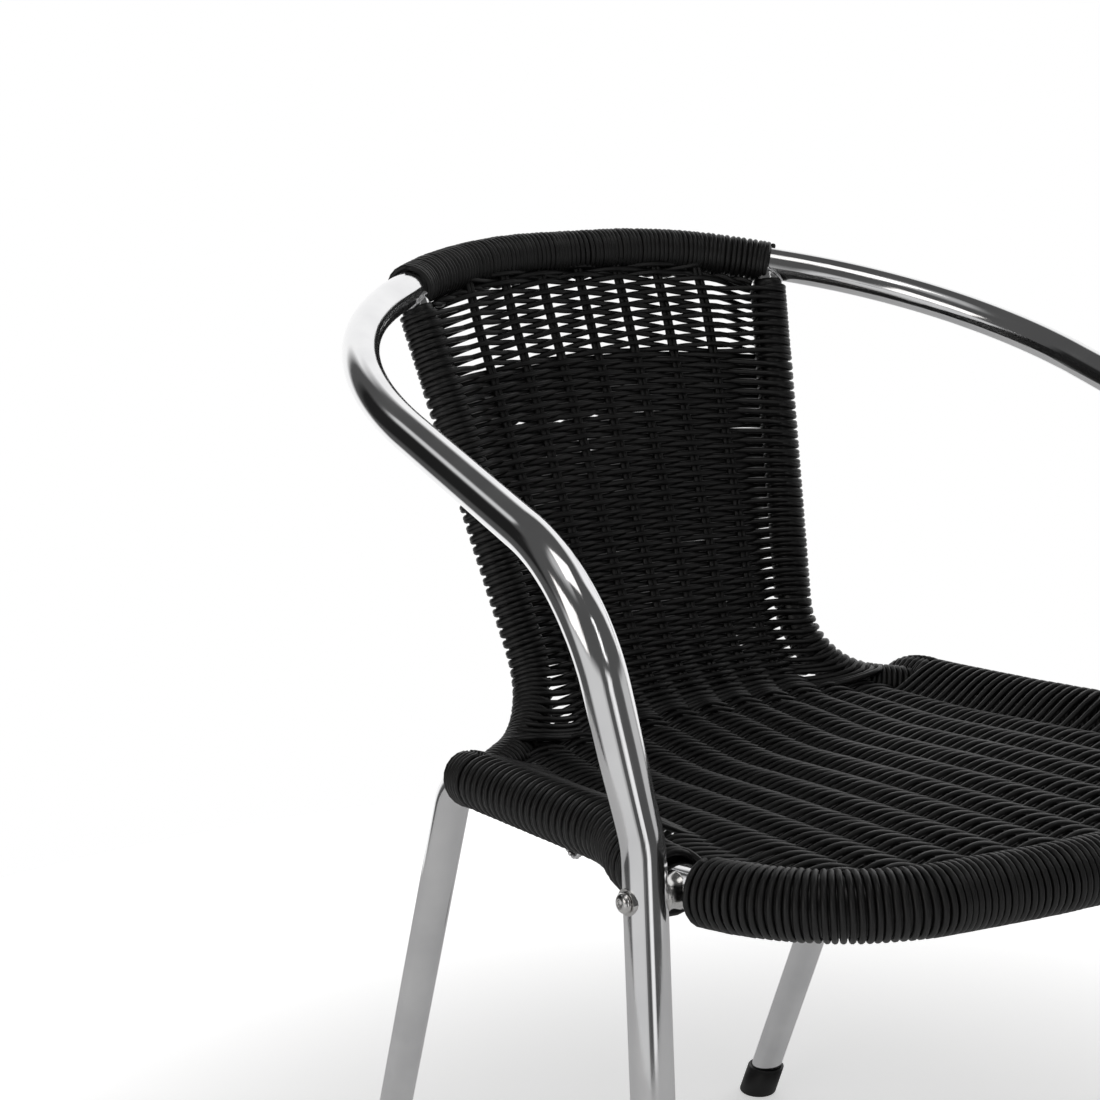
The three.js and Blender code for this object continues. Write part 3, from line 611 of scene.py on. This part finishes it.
SEAT_WAVE_ACROSS, SEAT_WAVE_DOWN, SEAT_WAVE_OWN, SEAT_WANDER_OWN = 37.0, 23.0, 13.0, 0.15
ROD_STOP_IN, ROD_STOP_UP = 4, 6
FRONT_STOP_IN, FRONT_STOP_BACK, FRONT_STOP_UP, FRONT_STOP_PULL = -3.0, 1.0, 5.0, 0.9
BOLT_HEIGHT, BARE_BEHIND, BARE_AHEAD = 414.0, 13.0, 13.0
SIDE_PAST_ROD = (33.0, 18.0)
PILE = ([0, 2.5, 7, 15, 28, 45, 80, 140], [-4.5, 1.2, 3.4, 4.0, 3.2, 2.0, 1.1, 0.0])
STAKE_REAR_PAST, STAKE_FRONT_PAST, STAKE_LEAST_POINTS = 1.5, 2.0, 4
half_run = seat_line.length / 2
rod_end_y = ROD_CORNERS[2][1]
rod_end_run = seat_line.run_where(1, rod_end_y, half_run)
leg_run = arm_line.run_where(2, BOLT_HEIGHT, arm_line.length / 2)
bolt_run = seat_line.run_where(1, arm_line.at(leg_run)[1], half_run)
side_first, left_first = (seat_line.run_where(1, rod_end_y + past, half_run) for past in SIDE_PAST_ROD)
side_last, front_last = bolt_run + BARE_BEHIND, bolt_run - BARE_AHEAD


def seat_edge(y):
    """The panel's edge: on the slanted rod behind, on the seat tube in front."""
    if y > rod_end_y:
        return rod_line.at(rod_line.run_where(1, y, corner_end - BEHIND_CORNER))
    return seat_line.at(seat_line.run_where(1, y, half_run))


def seat_stakes_at(y, edge_x):
    """Where the stakes cross a row, with their numbers."""
    pitch = np.interp(y, *SEAT_PITCHES)
    count = min(SEAT_STAKES, int((edge_x - EDGE_CLEAR) / pitch))
    x = np.arange(-count, count + 1) * pitch
    numbers = np.arange(-count, count + 1)
    outer = edge_x - OUTER_STAKE_INSET
    if y < OUTER_STAKE_FROM and outer > SEAT_STAKES * pitch + OUTER_CLEAR:
        x, numbers = np.r_[-outer, x, outer], np.r_[-count - 1, numbers, count + 1]
    return x, numbers


def seat_middle(x, y, edge):
    """The seat's surface: the edge's height less a shallow sag, filled out near the back."""
    bulge = 1 - (x / edge[0]) ** 2
    return edge[2] + (sweep_fill(corner_point[1] - y) - SEAT_SAG) * bulge


def rail_turn(run, sign, reach, piled, span):
    """The turn of a seat cord round the right side rail, from its top or underside outwards. Towards the
    rear end of the right one the cord is piled up, so that the turns stand higher."""
    centre, along = seat_line.at(run), seat_line.along(run)
    up = unit(UP - along * along[2])
    pile = piled * np.interp(side_first - run, *PILE)
    centre, reach = centre + 0.5 * pile * up, reach + 0.5 * pile
    outward = np.cross(up, along)
    outward = outward if outward[0] > 0 else -outward
    return turn_round(centre, along, up, outward, reach, sign, RAIL_ADVANCE, *span, RAIL_TURN_POINTS)


def seat_weft(y, parity):
    """One cord across the seat: a cosine wave over its stakes, bridged to its turns on both rails. Behind
    it ends at the rods, and beside the corner bolts at the bare tube."""
    edge = seat_edge(y)
    stakes, numbers = seat_stakes_at(y, edge[0])
    x = np.linspace(stakes[0], stakes[-1], POINTS_PER_PITCH * (len(stakes) - 1) + 1)
    wave = SEAT_LIFT * parity * np.cos(np.pi * np.interp(x, stakes, numbers))
    lift = wave * (1 + LIFT_SPREAD * rng.standard_normal())
    wander = WANDER * np.sin(x / SEAT_WAVE_ACROSS + y / SEAT_WAVE_DOWN)
    wander = wander + SEAT_WANDER_OWN * np.sin(x / SEAT_WAVE_OWN + rng.random() * ANY_PHASE)
    middle = np.stack([x, y + wander, seat_middle(x, y, edge) + lift], -1)
    end_sign = -parity * (1 if numbers[-1] % 2 == 0 else -1)
    run = seat_line.run_where(1, y, half_run)
    if y > rod_end_y or run < front_last:
        if y > rod_end_y:
            stop = edge - [ROD_STOP_IN, 0, 0] + [0, 0, end_sign * ROD_STOP_UP]
            way = unit(stop - middle[-1])
        else:
            stop = seat_line.at(run) + [FRONT_STOP_IN, FRONT_STOP_BACK, FRONT_STOP_UP * end_sign]
            way = ACROSS * FRONT_STOP_PULL
        right = np.vstack([bridge(middle[-1], stop, ACROSS, way), stop[None]])
        return np.vstack([(right * MIRROR)[::-1], middle, right])
    run = max(run, side_last + LAST_TURN_LOOSE * rng.random())
    ends = []
    for piled, start in ((1, middle[-1]), (0, middle[0] * MIRROR)):
        turn = rail_turn(run, end_sign, ROLL - (0 if end_sign > 0 else UNDER_TURN), piled, RAIL_TURN)
        ends.append(np.vstack([bridge(start, turn[0], ACROSS, unit(turn[1] - turn[0])), turn]))
    return np.vstack([(ends[1] * MIRROR)[::-1], middle, ends[0]])


ALONG_SEAT = np.array([0.0, -1.0, 0.0])
seat_rows = []
rear_y = y = corner_point[1] - BEHIND_CORNER
while y > FRONT_ROW:
    parity = 1 if (len(back_rows) + len(seat_rows)) % 2 else -1
    seat_rows.append((seat_weft(y, parity), CORD, ALONG_SEAT))
    y -= np.interp(y, *ROW_PITCHES)
for piled, first, turn in ((1, side_first, 1), (0, left_first, MIRROR)):
    seat_rows += [(rail_turn(run, 1, ROLL, piled, REAR_TURN) * turn, CORD, ALONG_SEAT)
                  for run in np.arange(rod_end_run + REAR_TURN_FROM, first, REAR_TURN_PITCH)]
half = len(seat_rows) // 2
cords("seat_weave_cords", seat_rows[:half], ["seat_weave", "right_side_rail_wrap", "left_side_rail_wrap"])
cords("seat_weave_cords_front", seat_rows[half:])
stakes_down = []
stake_y = np.arange(rear_y + STAKE_REAR_PAST, FRONT_ROW - STAKE_FRONT_PAST, -STAKE_STEP)
for k in range(-SEAT_STAKES - 1, SEAT_STAKES + 2):
    for side in (-1, 1):
        path = []
        for y in stake_y:
            edge = seat_edge(min(y, rear_y))
            stakes, numbers = seat_stakes_at(y, edge[0])
            if k in numbers:
                x = stakes[list(numbers).index(k)] + side * STAKE_HALF_GAP
                path.append((x, y, seat_middle(x, y, edge)))
        if len(path) >= STAKE_LEAST_POINTS:
            stakes_down.append((np.array(path), CORD, ACROSS))
cords("seat_stakes", stakes_down)

# Wound rails: one cord goes round and round the back rail, and a heavier one round the front rail. Hand
# winding leaves uneven turns, leaning groups and grooves. Under every winding a plain dark layer of the
# same cord closes the cracks, and the rods' bent feet are wound down to the side rails.
TOP_PITCH, TOP_LEAN, TOP_LOOSE = 3.6, 1.6, 0.16
FRONT_PITCH, FRONT_CORD, FRONT_LEAN, FRONT_LOOSE = 4.1, 2.0, 0.8, 0.07
ROD_FOOT_PITCH, ROD_FOOT_LEAN, ROD_FOOT_LOOSE, ROD_FOOT_BEFORE, ROD_FOOT_INSET = 3.7, 0.3, 0.05, 4.0, 6.0
GROOVE_WIDTH, GROOVE_CHANCE, LEAST_PITCH, GROUP_TURNS, TURN_PROUD = 2.2, 0.16, 0.5, 5.0, 0.3
PER_TURN, FRONT_PER_TURN = 20, 22
LAYER_STEP, LAYER_SIDES, LAYER_TONE, LAYER_INSET = 3.0, 32, 0.3, 1.0
TOP_LAYER, ROD_LAYER, FRONT_LAYER_UNDER, SIDE_LAYER_UNDER = TUBE + 1.0, ROD + 0.9, 0.9, 1.2
ROD_BARE, ROD_LAYER_INSET = 14.0, 12.0
TOP_PAST_ROD = 2.5
FORWARD_SKEW = np.array([0.0, 1.0, 0.0])


def winding(line, start, stop, reach, pitch, lean, loose, across, per_turn=PER_TURN):
    """A helix about the line: turn places are the running sum of uneven pitches, and each turn leans
    by its own slow amount, s + lean sin(a)."""
    turns = int((stop - start) / pitch)
    pitches = 1 + loose * rng.standard_normal(turns)
    pitches = pitches + GROOVE_WIDTH * loose * (rng.random(turns) < GROOVE_CHANCE)
    places = np.r_[0, np.cumsum(np.maximum(pitches, LEAST_PITCH))]
    a = np.arange(0, turns * 2 * np.pi, 2 * np.pi / per_turn)
    turn = a / (2 * np.pi)
    s = start + (stop - start) * np.interp(turn, np.arange(turns + 1), places) / places[-1]
    knots = np.arange(0, turns + GROUP_TURNS + 1, GROUP_TURNS)
    slant = lean * np.interp(turn, knots, rng.standard_normal(len(knots)))
    dense = np.arange(start - 2, stop + 2, 1.0)
    points = line.at(dense)
    fields = points, *ring_axes(points, across)
    s = np.clip(s + slant * np.sin(a), start, stop)
    centre, n, b = (np.stack([np.interp(s, dense, field[:, k]) for k in range(3)], -1) for field in fields)
    r = reach + TURN_PROUD * np.interp(turn, np.arange(turns + 1), rng.random(turns + 1))
    path = centre + r[:, None] * (np.cos(a)[:, None] * unit(n) + np.sin(a)[:, None] * unit(b))
    return path, np.cross(unit(n), unit(b))


def wound(name, radius, stands_for, *sizes):
    """One wound cord of this radius as a mesh."""
    path, rail = winding(*sizes)
    cords(name, [(path, radius, rail)], stands_for)


def under_layer(name, line, start, stop, radius, across=UP):
    """The plain sleeve under a winding, round the line from start to stop."""
    arrays = tube_arrays(line.at(np.arange(start, stop, LAYER_STEP)), radius, LAYER_SIDES, across)
    put_mesh(name, *arrays, cord_mat, "wicker_cord", tone=LAYER_TONE)


top_stop = arm_line.run_where(0, ROD_CORNERS[0][0] + TOP_PAST_ROD, arm_line.length / 2)
top_start = arm_line.length - top_stop
wound("top_rail_winding", CORD, ["top_rail_wrap"], arm_line, top_start, top_stop, TUBE + CORD, TOP_PITCH,
      TOP_LEAN, TOP_LOOSE, UP)
under_layer("top_rail_under_layer", arm_line, top_start + LAYER_INSET, top_stop - LAYER_INSET, TOP_LAYER)
front_start = seat_line.length - front_last
wound("front_rail_winding", FRONT_CORD, ["front_rail_wrap"], seat_line, front_start, front_last, ROLL,
      FRONT_PITCH, FRONT_LEAN, FRONT_LOOSE, UP, FRONT_PER_TURN)
under_layer("front_rail_under_layer", seat_line, front_start + LAYER_INSET, front_last - LAYER_INSET,
            ROLL - FRONT_LAYER_UNDER)
for side, seat, rod, first in (("right", seat_line, rod_line, side_first),
                               ("left", mirrored(seat_line), mirrored(rod_line), left_first)):
    under_layer(side + "_side_under_layer", seat, side_last + LAYER_INSET, first - LAYER_INSET,
                ROLL - SIDE_LAYER_UNDER)
    under_layer(side + "_rod_under_layer", rod, ROD_BARE, rod.length - ROD_LAYER_INSET, ROD_LAYER,
                FORWARD_SKEW)
    wound(side + "_rod_foot_winding", CORD, (), rod, corner_end - ROD_FOOT_BEFORE,
          rod.length - ROD_FOOT_INSET, ROD + CORD, ROD_FOOT_PITCH, ROD_FOOT_LEAN, ROD_FOOT_LOOSE,
          FORWARD_SKEW)

# Border: two cords twisted together run along the underside of the back rail and hide the first row.
# They are laid on last, and their ends are tucked into the winding at each rod.
BORDER_ANGLE = math.radians(-62)
BORDER_HALF, BORDER_STEP, BORDER_TWIST = 146.0, 2.0, 30.0
BORDER_CORD, BORDER_REACH, BORDER_SWAY, BORDER_WIDER, BORDER_FROM = 2.0, TUBE + 3.6 * CORD, 1.5, 1.3, 200.0


def border_path(phase):
    """A helix along the rail's underside: sway cos(a) outwards and 1.3 sway sin(a) sideways."""
    x = np.arange(-BORDER_HALF, BORDER_HALF + 0.1, BORDER_STEP)
    runs = np.array([arm_line.run_where(0, value, arm_line.length / 2 - BORDER_FROM) for value in x])
    centre, along = arm_line.at(runs), arm_line.along(runs)
    up = unit(UP - along * along[:, 2:])
    ahead = np.cross(along, up)
    ahead *= np.where(ahead[:, 1:2] > 0, -1, 1)
    out = math.cos(BORDER_ANGLE) * ahead + math.sin(BORDER_ANGLE) * up
    a = x / BORDER_TWIST * 2 * np.pi + phase
    return (centre + out * (BORDER_REACH + BORDER_SWAY * np.cos(a))[:, None]
            + np.cross(along, out) * (BORDER_WIDER * BORDER_SWAY * np.sin(a))[:, None])


cords("top_rail_border", [(border_path(phase), BORDER_CORD, UP) for phase in (0.0, math.pi)])

# Corner bolts: a plated button-head bolt with a hex socket goes through each front leg and the seat tube.
# A waisted spacer holds them apart. The saddle washer and nut keep their solids.
HEAD_RADIUS, HEAD_HEIGHT, HEAD_RIM, HEAD_FLAT, HEAD_EDGE = 5.8, 3.6, 0.5, 0.6, 0.1
SOCKET_RADIUS, SOCKET_DEPTH, SOCKET_CHAMFER = 2.2, 2.0, 0.25
SHANK_RADIUS, SHANK_CHAMFER = 3.0, 0.6
SPACER_END, SPACER_WAIST, SPACER_POINTS = 10.6, 1.4, 15
TURNED_SIDES, DOME_POINTS, POLE = 72, 12, 0.02


def plated_steel():
    """Bright plated steel with fine, faint clouds."""
    return finished_material("plated_steel", 1.0, Scale=600.0, Dark=(0.62, 0.61, 0.60, 1),
                             Light=(0.78, 0.77, 0.76, 1), Glossy=0.14, Dull=0.26)[0]


def grid_arrays(rings):
    """Quads over rings of points that close round, with UVs from 0 to 1; the end rings are POLE wide."""
    rows, sides = rings.shape[:2]
    i, j, quads = ring_quads(rows, sides)
    return rings.reshape(-1, 3), quads, corner_uvs(j / sides, (j + 1) / sides, i / rows, (i + 1) / rows)


def turned(profile, start, flat_pairs=0):
    """A profile of (radius, distance) pairs swept about the X axis; its first pairs have six flats."""
    a = np.linspace(0, 2 * np.pi, TURNED_SIDES, endpoint=False)
    flats = 1 / np.cos((a + np.pi / 6) % (np.pi / 3) - np.pi / 6)
    rings = []
    for i, (radius, along) in enumerate(profile):
        r = radius * (flats if i < flat_pairs else 1.0) * np.ones(len(a))
        rings.append(np.stack([0 * a + along, r * np.cos(a), r * np.sin(a)], -1))
    return grid_arrays(np.array(rings) + [start, bolt_middle[1], bolt_middle[2]])


steel_mat = plated_steel()
bolt_low, bolt_high = (np.array(corner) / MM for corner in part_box("right_corner_bolt"))
spacer_low, spacer_high = (np.array(corner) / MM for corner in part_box("right_corner_spacer"))
bolt_middle = (bolt_low + bolt_high) / 2
shank_end = bolt_low[0] - bolt_high[0]
spacer_length = spacer_high[0] - spacer_low[0]
dome_foot = SOCKET_RADIUS + HEAD_FLAT
dome = np.linspace(0, np.pi / 2, DOME_POINTS)
head_profile = [(POLE, -SOCKET_DEPTH), (SOCKET_RADIUS, -SOCKET_DEPTH), (SOCKET_RADIUS, -SOCKET_CHAMFER),
                (SOCKET_RADIUS + SOCKET_CHAMFER, 0.0)]
head_profile += [(dome_foot + (HEAD_RADIUS - SOCKET_RADIUS - HEAD_FLAT) * math.sin(t),
                  -(HEAD_HEIGHT - HEAD_RIM) * (1 - math.cos(t))) for t in dome]
head_profile += [(HEAD_RADIUS, -HEAD_HEIGHT + HEAD_EDGE), (HEAD_RADIUS - HEAD_EDGE, -HEAD_HEIGHT),
                 (SHANK_RADIUS, -HEAD_HEIGHT), (SHANK_RADIUS, shank_end + SHANK_CHAMFER),
                 (SHANK_RADIUS - SHANK_CHAMFER, shank_end), (POLE, shank_end)]
spacer_profile = [(SPACER_END - SPACER_WAIST * math.sin(math.pi * t), spacer_length * t)
                  for t in np.linspace(0, 1, SPACER_POINTS)]
spacer_profile = [(POLE, 0.0), *spacer_profile, (POLE, spacer_length)]
for side, turn in SIDES:
    for name, node, arrays in (("_bolt_plated", "_corner_bolt", turned(head_profile, bolt_high[0], 3)),
                               ("_spacer_plated", "_corner_spacer", turned(spacer_profile, spacer_low[0]))):
        put_mesh(side + name, arrays[0] * turn, *arrays[1:], steel_mat, "steel_hardware", [side + node])
for name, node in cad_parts.items():
    if name.endswith(("saddle_washer", "corner_nut")):
        node.data.materials.clear()
        node.data.materials.append(steel_mat)

# Feet: black moulded caps are pushed over the four tube ends and cut level, with a rounded lower edge
# and a thin lip round the tube.
CAP_WALL, CAP_HEIGHT, CAP_EDGE, CAP_LIP, CAP_TAPER, CAP_DIP = 2.8, 28.0, 2.0, 0.8, 0.2, 0.2
CAP_TREAD, CAP_TREAD_WALL, CAP_TREAD_BEVEL, CAP_GAP = 0.4, 5.0, 4.4, 0.3
CAP_SIDES, CAP_AIM, GRAIN = 64, 20.0, 1400.0


def moulded_plastic():
    """Black moulded plastic: matte, with a fine sparked grain."""
    mat, tree, shader, _ = finished_material(
        "moulded_plastic", 0.0, Scale=70.0, Dark=(0.006, 0.006, 0.0062, 1), Light=(0.013, 0.013, 0.0132, 1),
        Glossy=0.48, Dull=0.6)
    coords = add_node(tree, "TexCoord")
    grain = add_node(tree, "TexNoise", {"Vector": coords.outputs["Object"], "Scale": GRAIN})
    add_bump(tree, shader, grain.outputs["Fac"], strength=0.2, distance=0.0002)
    return mat


def foot_cap(name, line, turn):
    """Level rings about the leg: at height z the section of a slanted tube of radius r, longer by 1 / cos."""
    foot = line.at(line.length)
    way = line.along(line.length - CAP_AIM)
    slope = way / way[2]
    lean = unit(slope * [1, 1, 0])
    side = np.cross(UP, lean)
    longer = math.hypot(1.0, math.hypot(slope[0], slope[1]))
    quarter = np.linspace(0, np.pi / 2, 6)
    wall = TUBE + CAP_WALL
    rim = wall - CAP_TAPER
    profile = [(POLE, CAP_TREAD), (wall - CAP_TREAD_WALL, CAP_TREAD), (wall - CAP_TREAD_BEVEL, 0.0)]
    profile += [(wall - CAP_EDGE * (1 - math.sin(t)), CAP_EDGE * (1 - math.cos(t))) for t in quarter]
    profile += [(rim, CAP_HEIGHT - CAP_LIP)]
    profile += [(rim - CAP_LIP * (1 - math.cos(t)), CAP_HEIGHT - CAP_LIP * (1 - math.sin(t)))
                for t in quarter]
    profile += [(TUBE + CAP_GAP, CAP_HEIGHT - CAP_DIP), (TUBE + CAP_GAP, CAP_BASE - CAP_TREAD),
                (POLE, CAP_BASE - CAP_TREAD)]
    a = np.linspace(0, 2 * np.pi, CAP_SIDES, endpoint=False)[:, None]
    section = np.cos(a) * longer * lean + np.sin(a) * side
    rings = np.array([foot + slope * z + r * section for r, z in profile])
    rings[..., 2] = np.array([z for r, z in profile])[:, None]
    verts, quads, uvs = grid_arrays(rings)
    put_mesh(name + "_moulded", verts * turn, quads, uvs, plastic_mat, "foot_plastic", [name])


plastic_mat = moulded_plastic()
for side, turn in SIDES:
    foot_cap(side + "_front_foot_cap", arm_line, turn)
    foot_cap(side + "_rear_foot_cap", seat_line, turn)

# Studio, in metres: a pale floor that runs out to white, with three soft lamps. Polished tubes mirror what
# stands round them: white behind the chair, a dark gap to its left, grey walls and ceiling and a dim room.
FLOOR_RADIUS, FLOOR_SIDES, FLOOR_DROP, FLOOR_GREY = 1.25, 96, 0.0002, 0.82
FLOOR_NEAR, FLOOR_FAR = 0.35, 1.05
GLOW_NEAR, GLOW_FAR, GLOW_MIRRORED = 0.5, 1.0, 0.16
ROOM = 0.085
WINDOW_SIZES = ("Left", "Right", "Low", "High", "Soft", "Slant", "Level")
ROOM_WINDOWS = {
    "white_backdrop": (-45, 66, -40, 50, 9, 0.3, 0.95),
    "dark_gap": (-94, -46, -8, 36, 7, 0.0, -0.07),
    "left_wall": (-177, -94, -75, 6, 10, 0.0, 0.58),
    "ceiling_edge": (-178, -118, 42, 80, 12, 0.0, 0.4),
    "small_window": (-80, -60, 34, 50, 5, 0.0, 0.6),
    "front_screen": (146, 167, -60, 9, 4, 0.0, 0.9),
    "right_wall": (62, 107, -60, 9, 6, 0.0, 0.45),
}
FORWARD = np.array([0.524, 0.852, 0.0])
RIGHTWARD = np.array([0.852, -0.524, 0.0])
LAMP_AIM = (0.0, 0.0, 0.55)
SOFTBOXES = [
    ("left_softbox", -132, 13, 2.4, (1.3, 0.95), 1.35, (1.0, 0.97, 0.94)),
    ("top_softbox", 176, 66, 2.2, (1.1, 0.9), 1.3, (1.0, 0.98, 0.96)),
    ("right_strip", 152, 26, 2.6, (0.35, 1.1), 1.6, (1, 1, 1)),
]


def make_floor():
    """A round floor, lit plainly, with a glow for the camera that rises to white away from the chair."""
    a = np.linspace(0, 2 * np.pi, FLOOR_SIDES, endpoint=False)
    verts = np.stack([FLOOR_RADIUS * np.cos(a), FLOOR_RADIUS * np.sin(a), 0 * a - FLOOR_DROP], -1)
    mesh = bpy.data.meshes.new("studio_floor")
    mesh.from_pydata(verts.tolist(), [], [list(range(len(a)))])
    floor = bpy.data.objects.new("studio_floor", mesh)
    bpy.context.scene.collection.objects.link(floor)
    mat = bpy.data.materials.new("floor_white")
    mat.use_nodes = True
    tree = mat.node_tree
    tree.nodes.clear()
    lit = add_node(tree, "BsdfDiffuse", {"Color": (FLOOR_GREY, FLOOR_GREY, FLOOR_GREY, 1)})
    coords = add_node(tree, "TexCoord")
    away = add_node(tree, "VectorMath", {0: coords.outputs["Object"]}, operation="LENGTH")
    rise = add_node(tree, "MapRange", {"Value": away.outputs["Value"], "From Min": FLOOR_NEAR,
                                       "From Max": FLOOR_FAR, "To Min": GLOW_NEAR, "To Max": GLOW_FAR},
                    interpolation_type="SMOOTHSTEP")
    path = add_node(tree, "LightPath")
    strength = add_node(tree, "Mix", {"Factor": path.outputs["Is Camera Ray"], "A": GLOW_MIRRORED,
                                      "B": rise.outputs["Result"]})
    glow = add_node(tree, "Emission", {"Strength": strength.outputs["Result"]})
    both = add_node(tree, "AddShader", {0: lit.outputs["BSDF"], 1: glow.outputs["Emission"]})
    add_node(tree, "OutputMaterial", {"Surface": both.outputs["Shader"]})
    mesh.materials.append(mat)


def softbox(name, azimuth, elevation, distance, size, level, color):
    """An area lamp seen from the chair at these angles from the view's own direction; its power is
    pi x area x the brightness it shows."""
    az, el = math.radians(azimuth), math.radians(elevation)
    way = (FORWARD * math.cos(az) + RIGHTWARD * math.sin(az)) * math.cos(el) + UP * math.sin(el)
    lamp = bpy.data.lights.new(name, "AREA")
    lamp.shape = "RECTANGLE"
    lamp.size, lamp.size_y = size
    lamp.energy = math.pi * size[0] * size[1] * level
    lamp.color = color
    holder = bpy.data.objects.new(name, lamp)
    holder.location = Vector(LAMP_AIM) + Vector(way) * distance
    holder.rotation_euler = Vector(way).to_track_quat("Z", "Y").to_euler()
    bpy.context.scene.collection.objects.link(holder)


def window_group():
    """A soft-edged patch of the room: level x the product of four clamped ramps in from its edges. A slant
    shifts it right as it rises."""
    labels = "Azimuth", "Elevation", *WINDOW_SIZES
    group, given, out = effect_group("room_window", dict.fromkeys(labels, 0.0), {"Light": 0.0})
    rise = math_node(group, "MULTIPLY", given["Elevation"], given["Slant"])
    azimuth = math_node(group, "SUBTRACT", given["Azimuth"], rise)
    light = given["Level"]
    for high, low in ((azimuth, given["Left"]), (given["Right"], azimuth), (given["Elevation"], given["Low"]),
                      (given["High"], given["Elevation"])):
        inside = math_node(group, "SUBTRACT", high, low)
        ramp = math_node(group, "DIVIDE", inside, given["Soft"], clamp=True)
        light = math_node(group, "MULTIPLY", light, ramp)
    group.links.new(light, out["Light"])
    return group


def make_world():
    """The room that the tubes mirror, as a sum of windows; the camera itself sees plain white."""
    world = bpy.data.worlds.new("studio")
    bpy.context.scene.world = world
    world.use_nodes = True
    tree = world.node_tree
    tree.nodes.clear()
    way = add_node(tree, "TexCoord").outputs["Generated"]
    parts = add_node(tree, "SeparateXYZ", {"Vector": way})
    shares = [add_node(tree, "VectorMath", {0: way, 1: tuple(axis)}, operation="DOT_PRODUCT").outputs["Value"]
              for axis in (RIGHTWARD, FORWARD)]
    azimuth = math_node(tree, "ARCTAN2", *shares)
    elevation = math_node(tree, "ARCSINE", parts.outputs["Z"], 0.0)
    angles = {label: math_node(tree, "MULTIPLY", angle, math.degrees(1))
              for label, angle in (("Azimuth", azimuth), ("Elevation", elevation))}
    total = ROOM
    for name, sizes in ROOM_WINDOWS.items():
        inputs = {**dict(zip(WINDOW_SIZES, sizes)), **angles}
        window = add_node(tree, "Group", inputs, node_tree=WINDOW, name=name)
        total = math_node(tree, "ADD", total, window.outputs["Light"])
    path = add_node(tree, "LightPath")
    mix = add_node(tree, "Mix", {"Factor": path.outputs["Is Camera Ray"], "A": total, "B": 1.0})
    around = add_node(tree, "Background", {"Color": (1, 1, 1, 1), "Strength": mix.outputs["Result"]})
    add_node(tree, "OutputWorld", {"Surface": around.outputs["Background"]})


WINDOW = window_group()
make_floor()
make_world()
for values in SOFTBOXES:
    softbox(*values)
bpy.context.scene.view_settings.view_transform = "Standard"
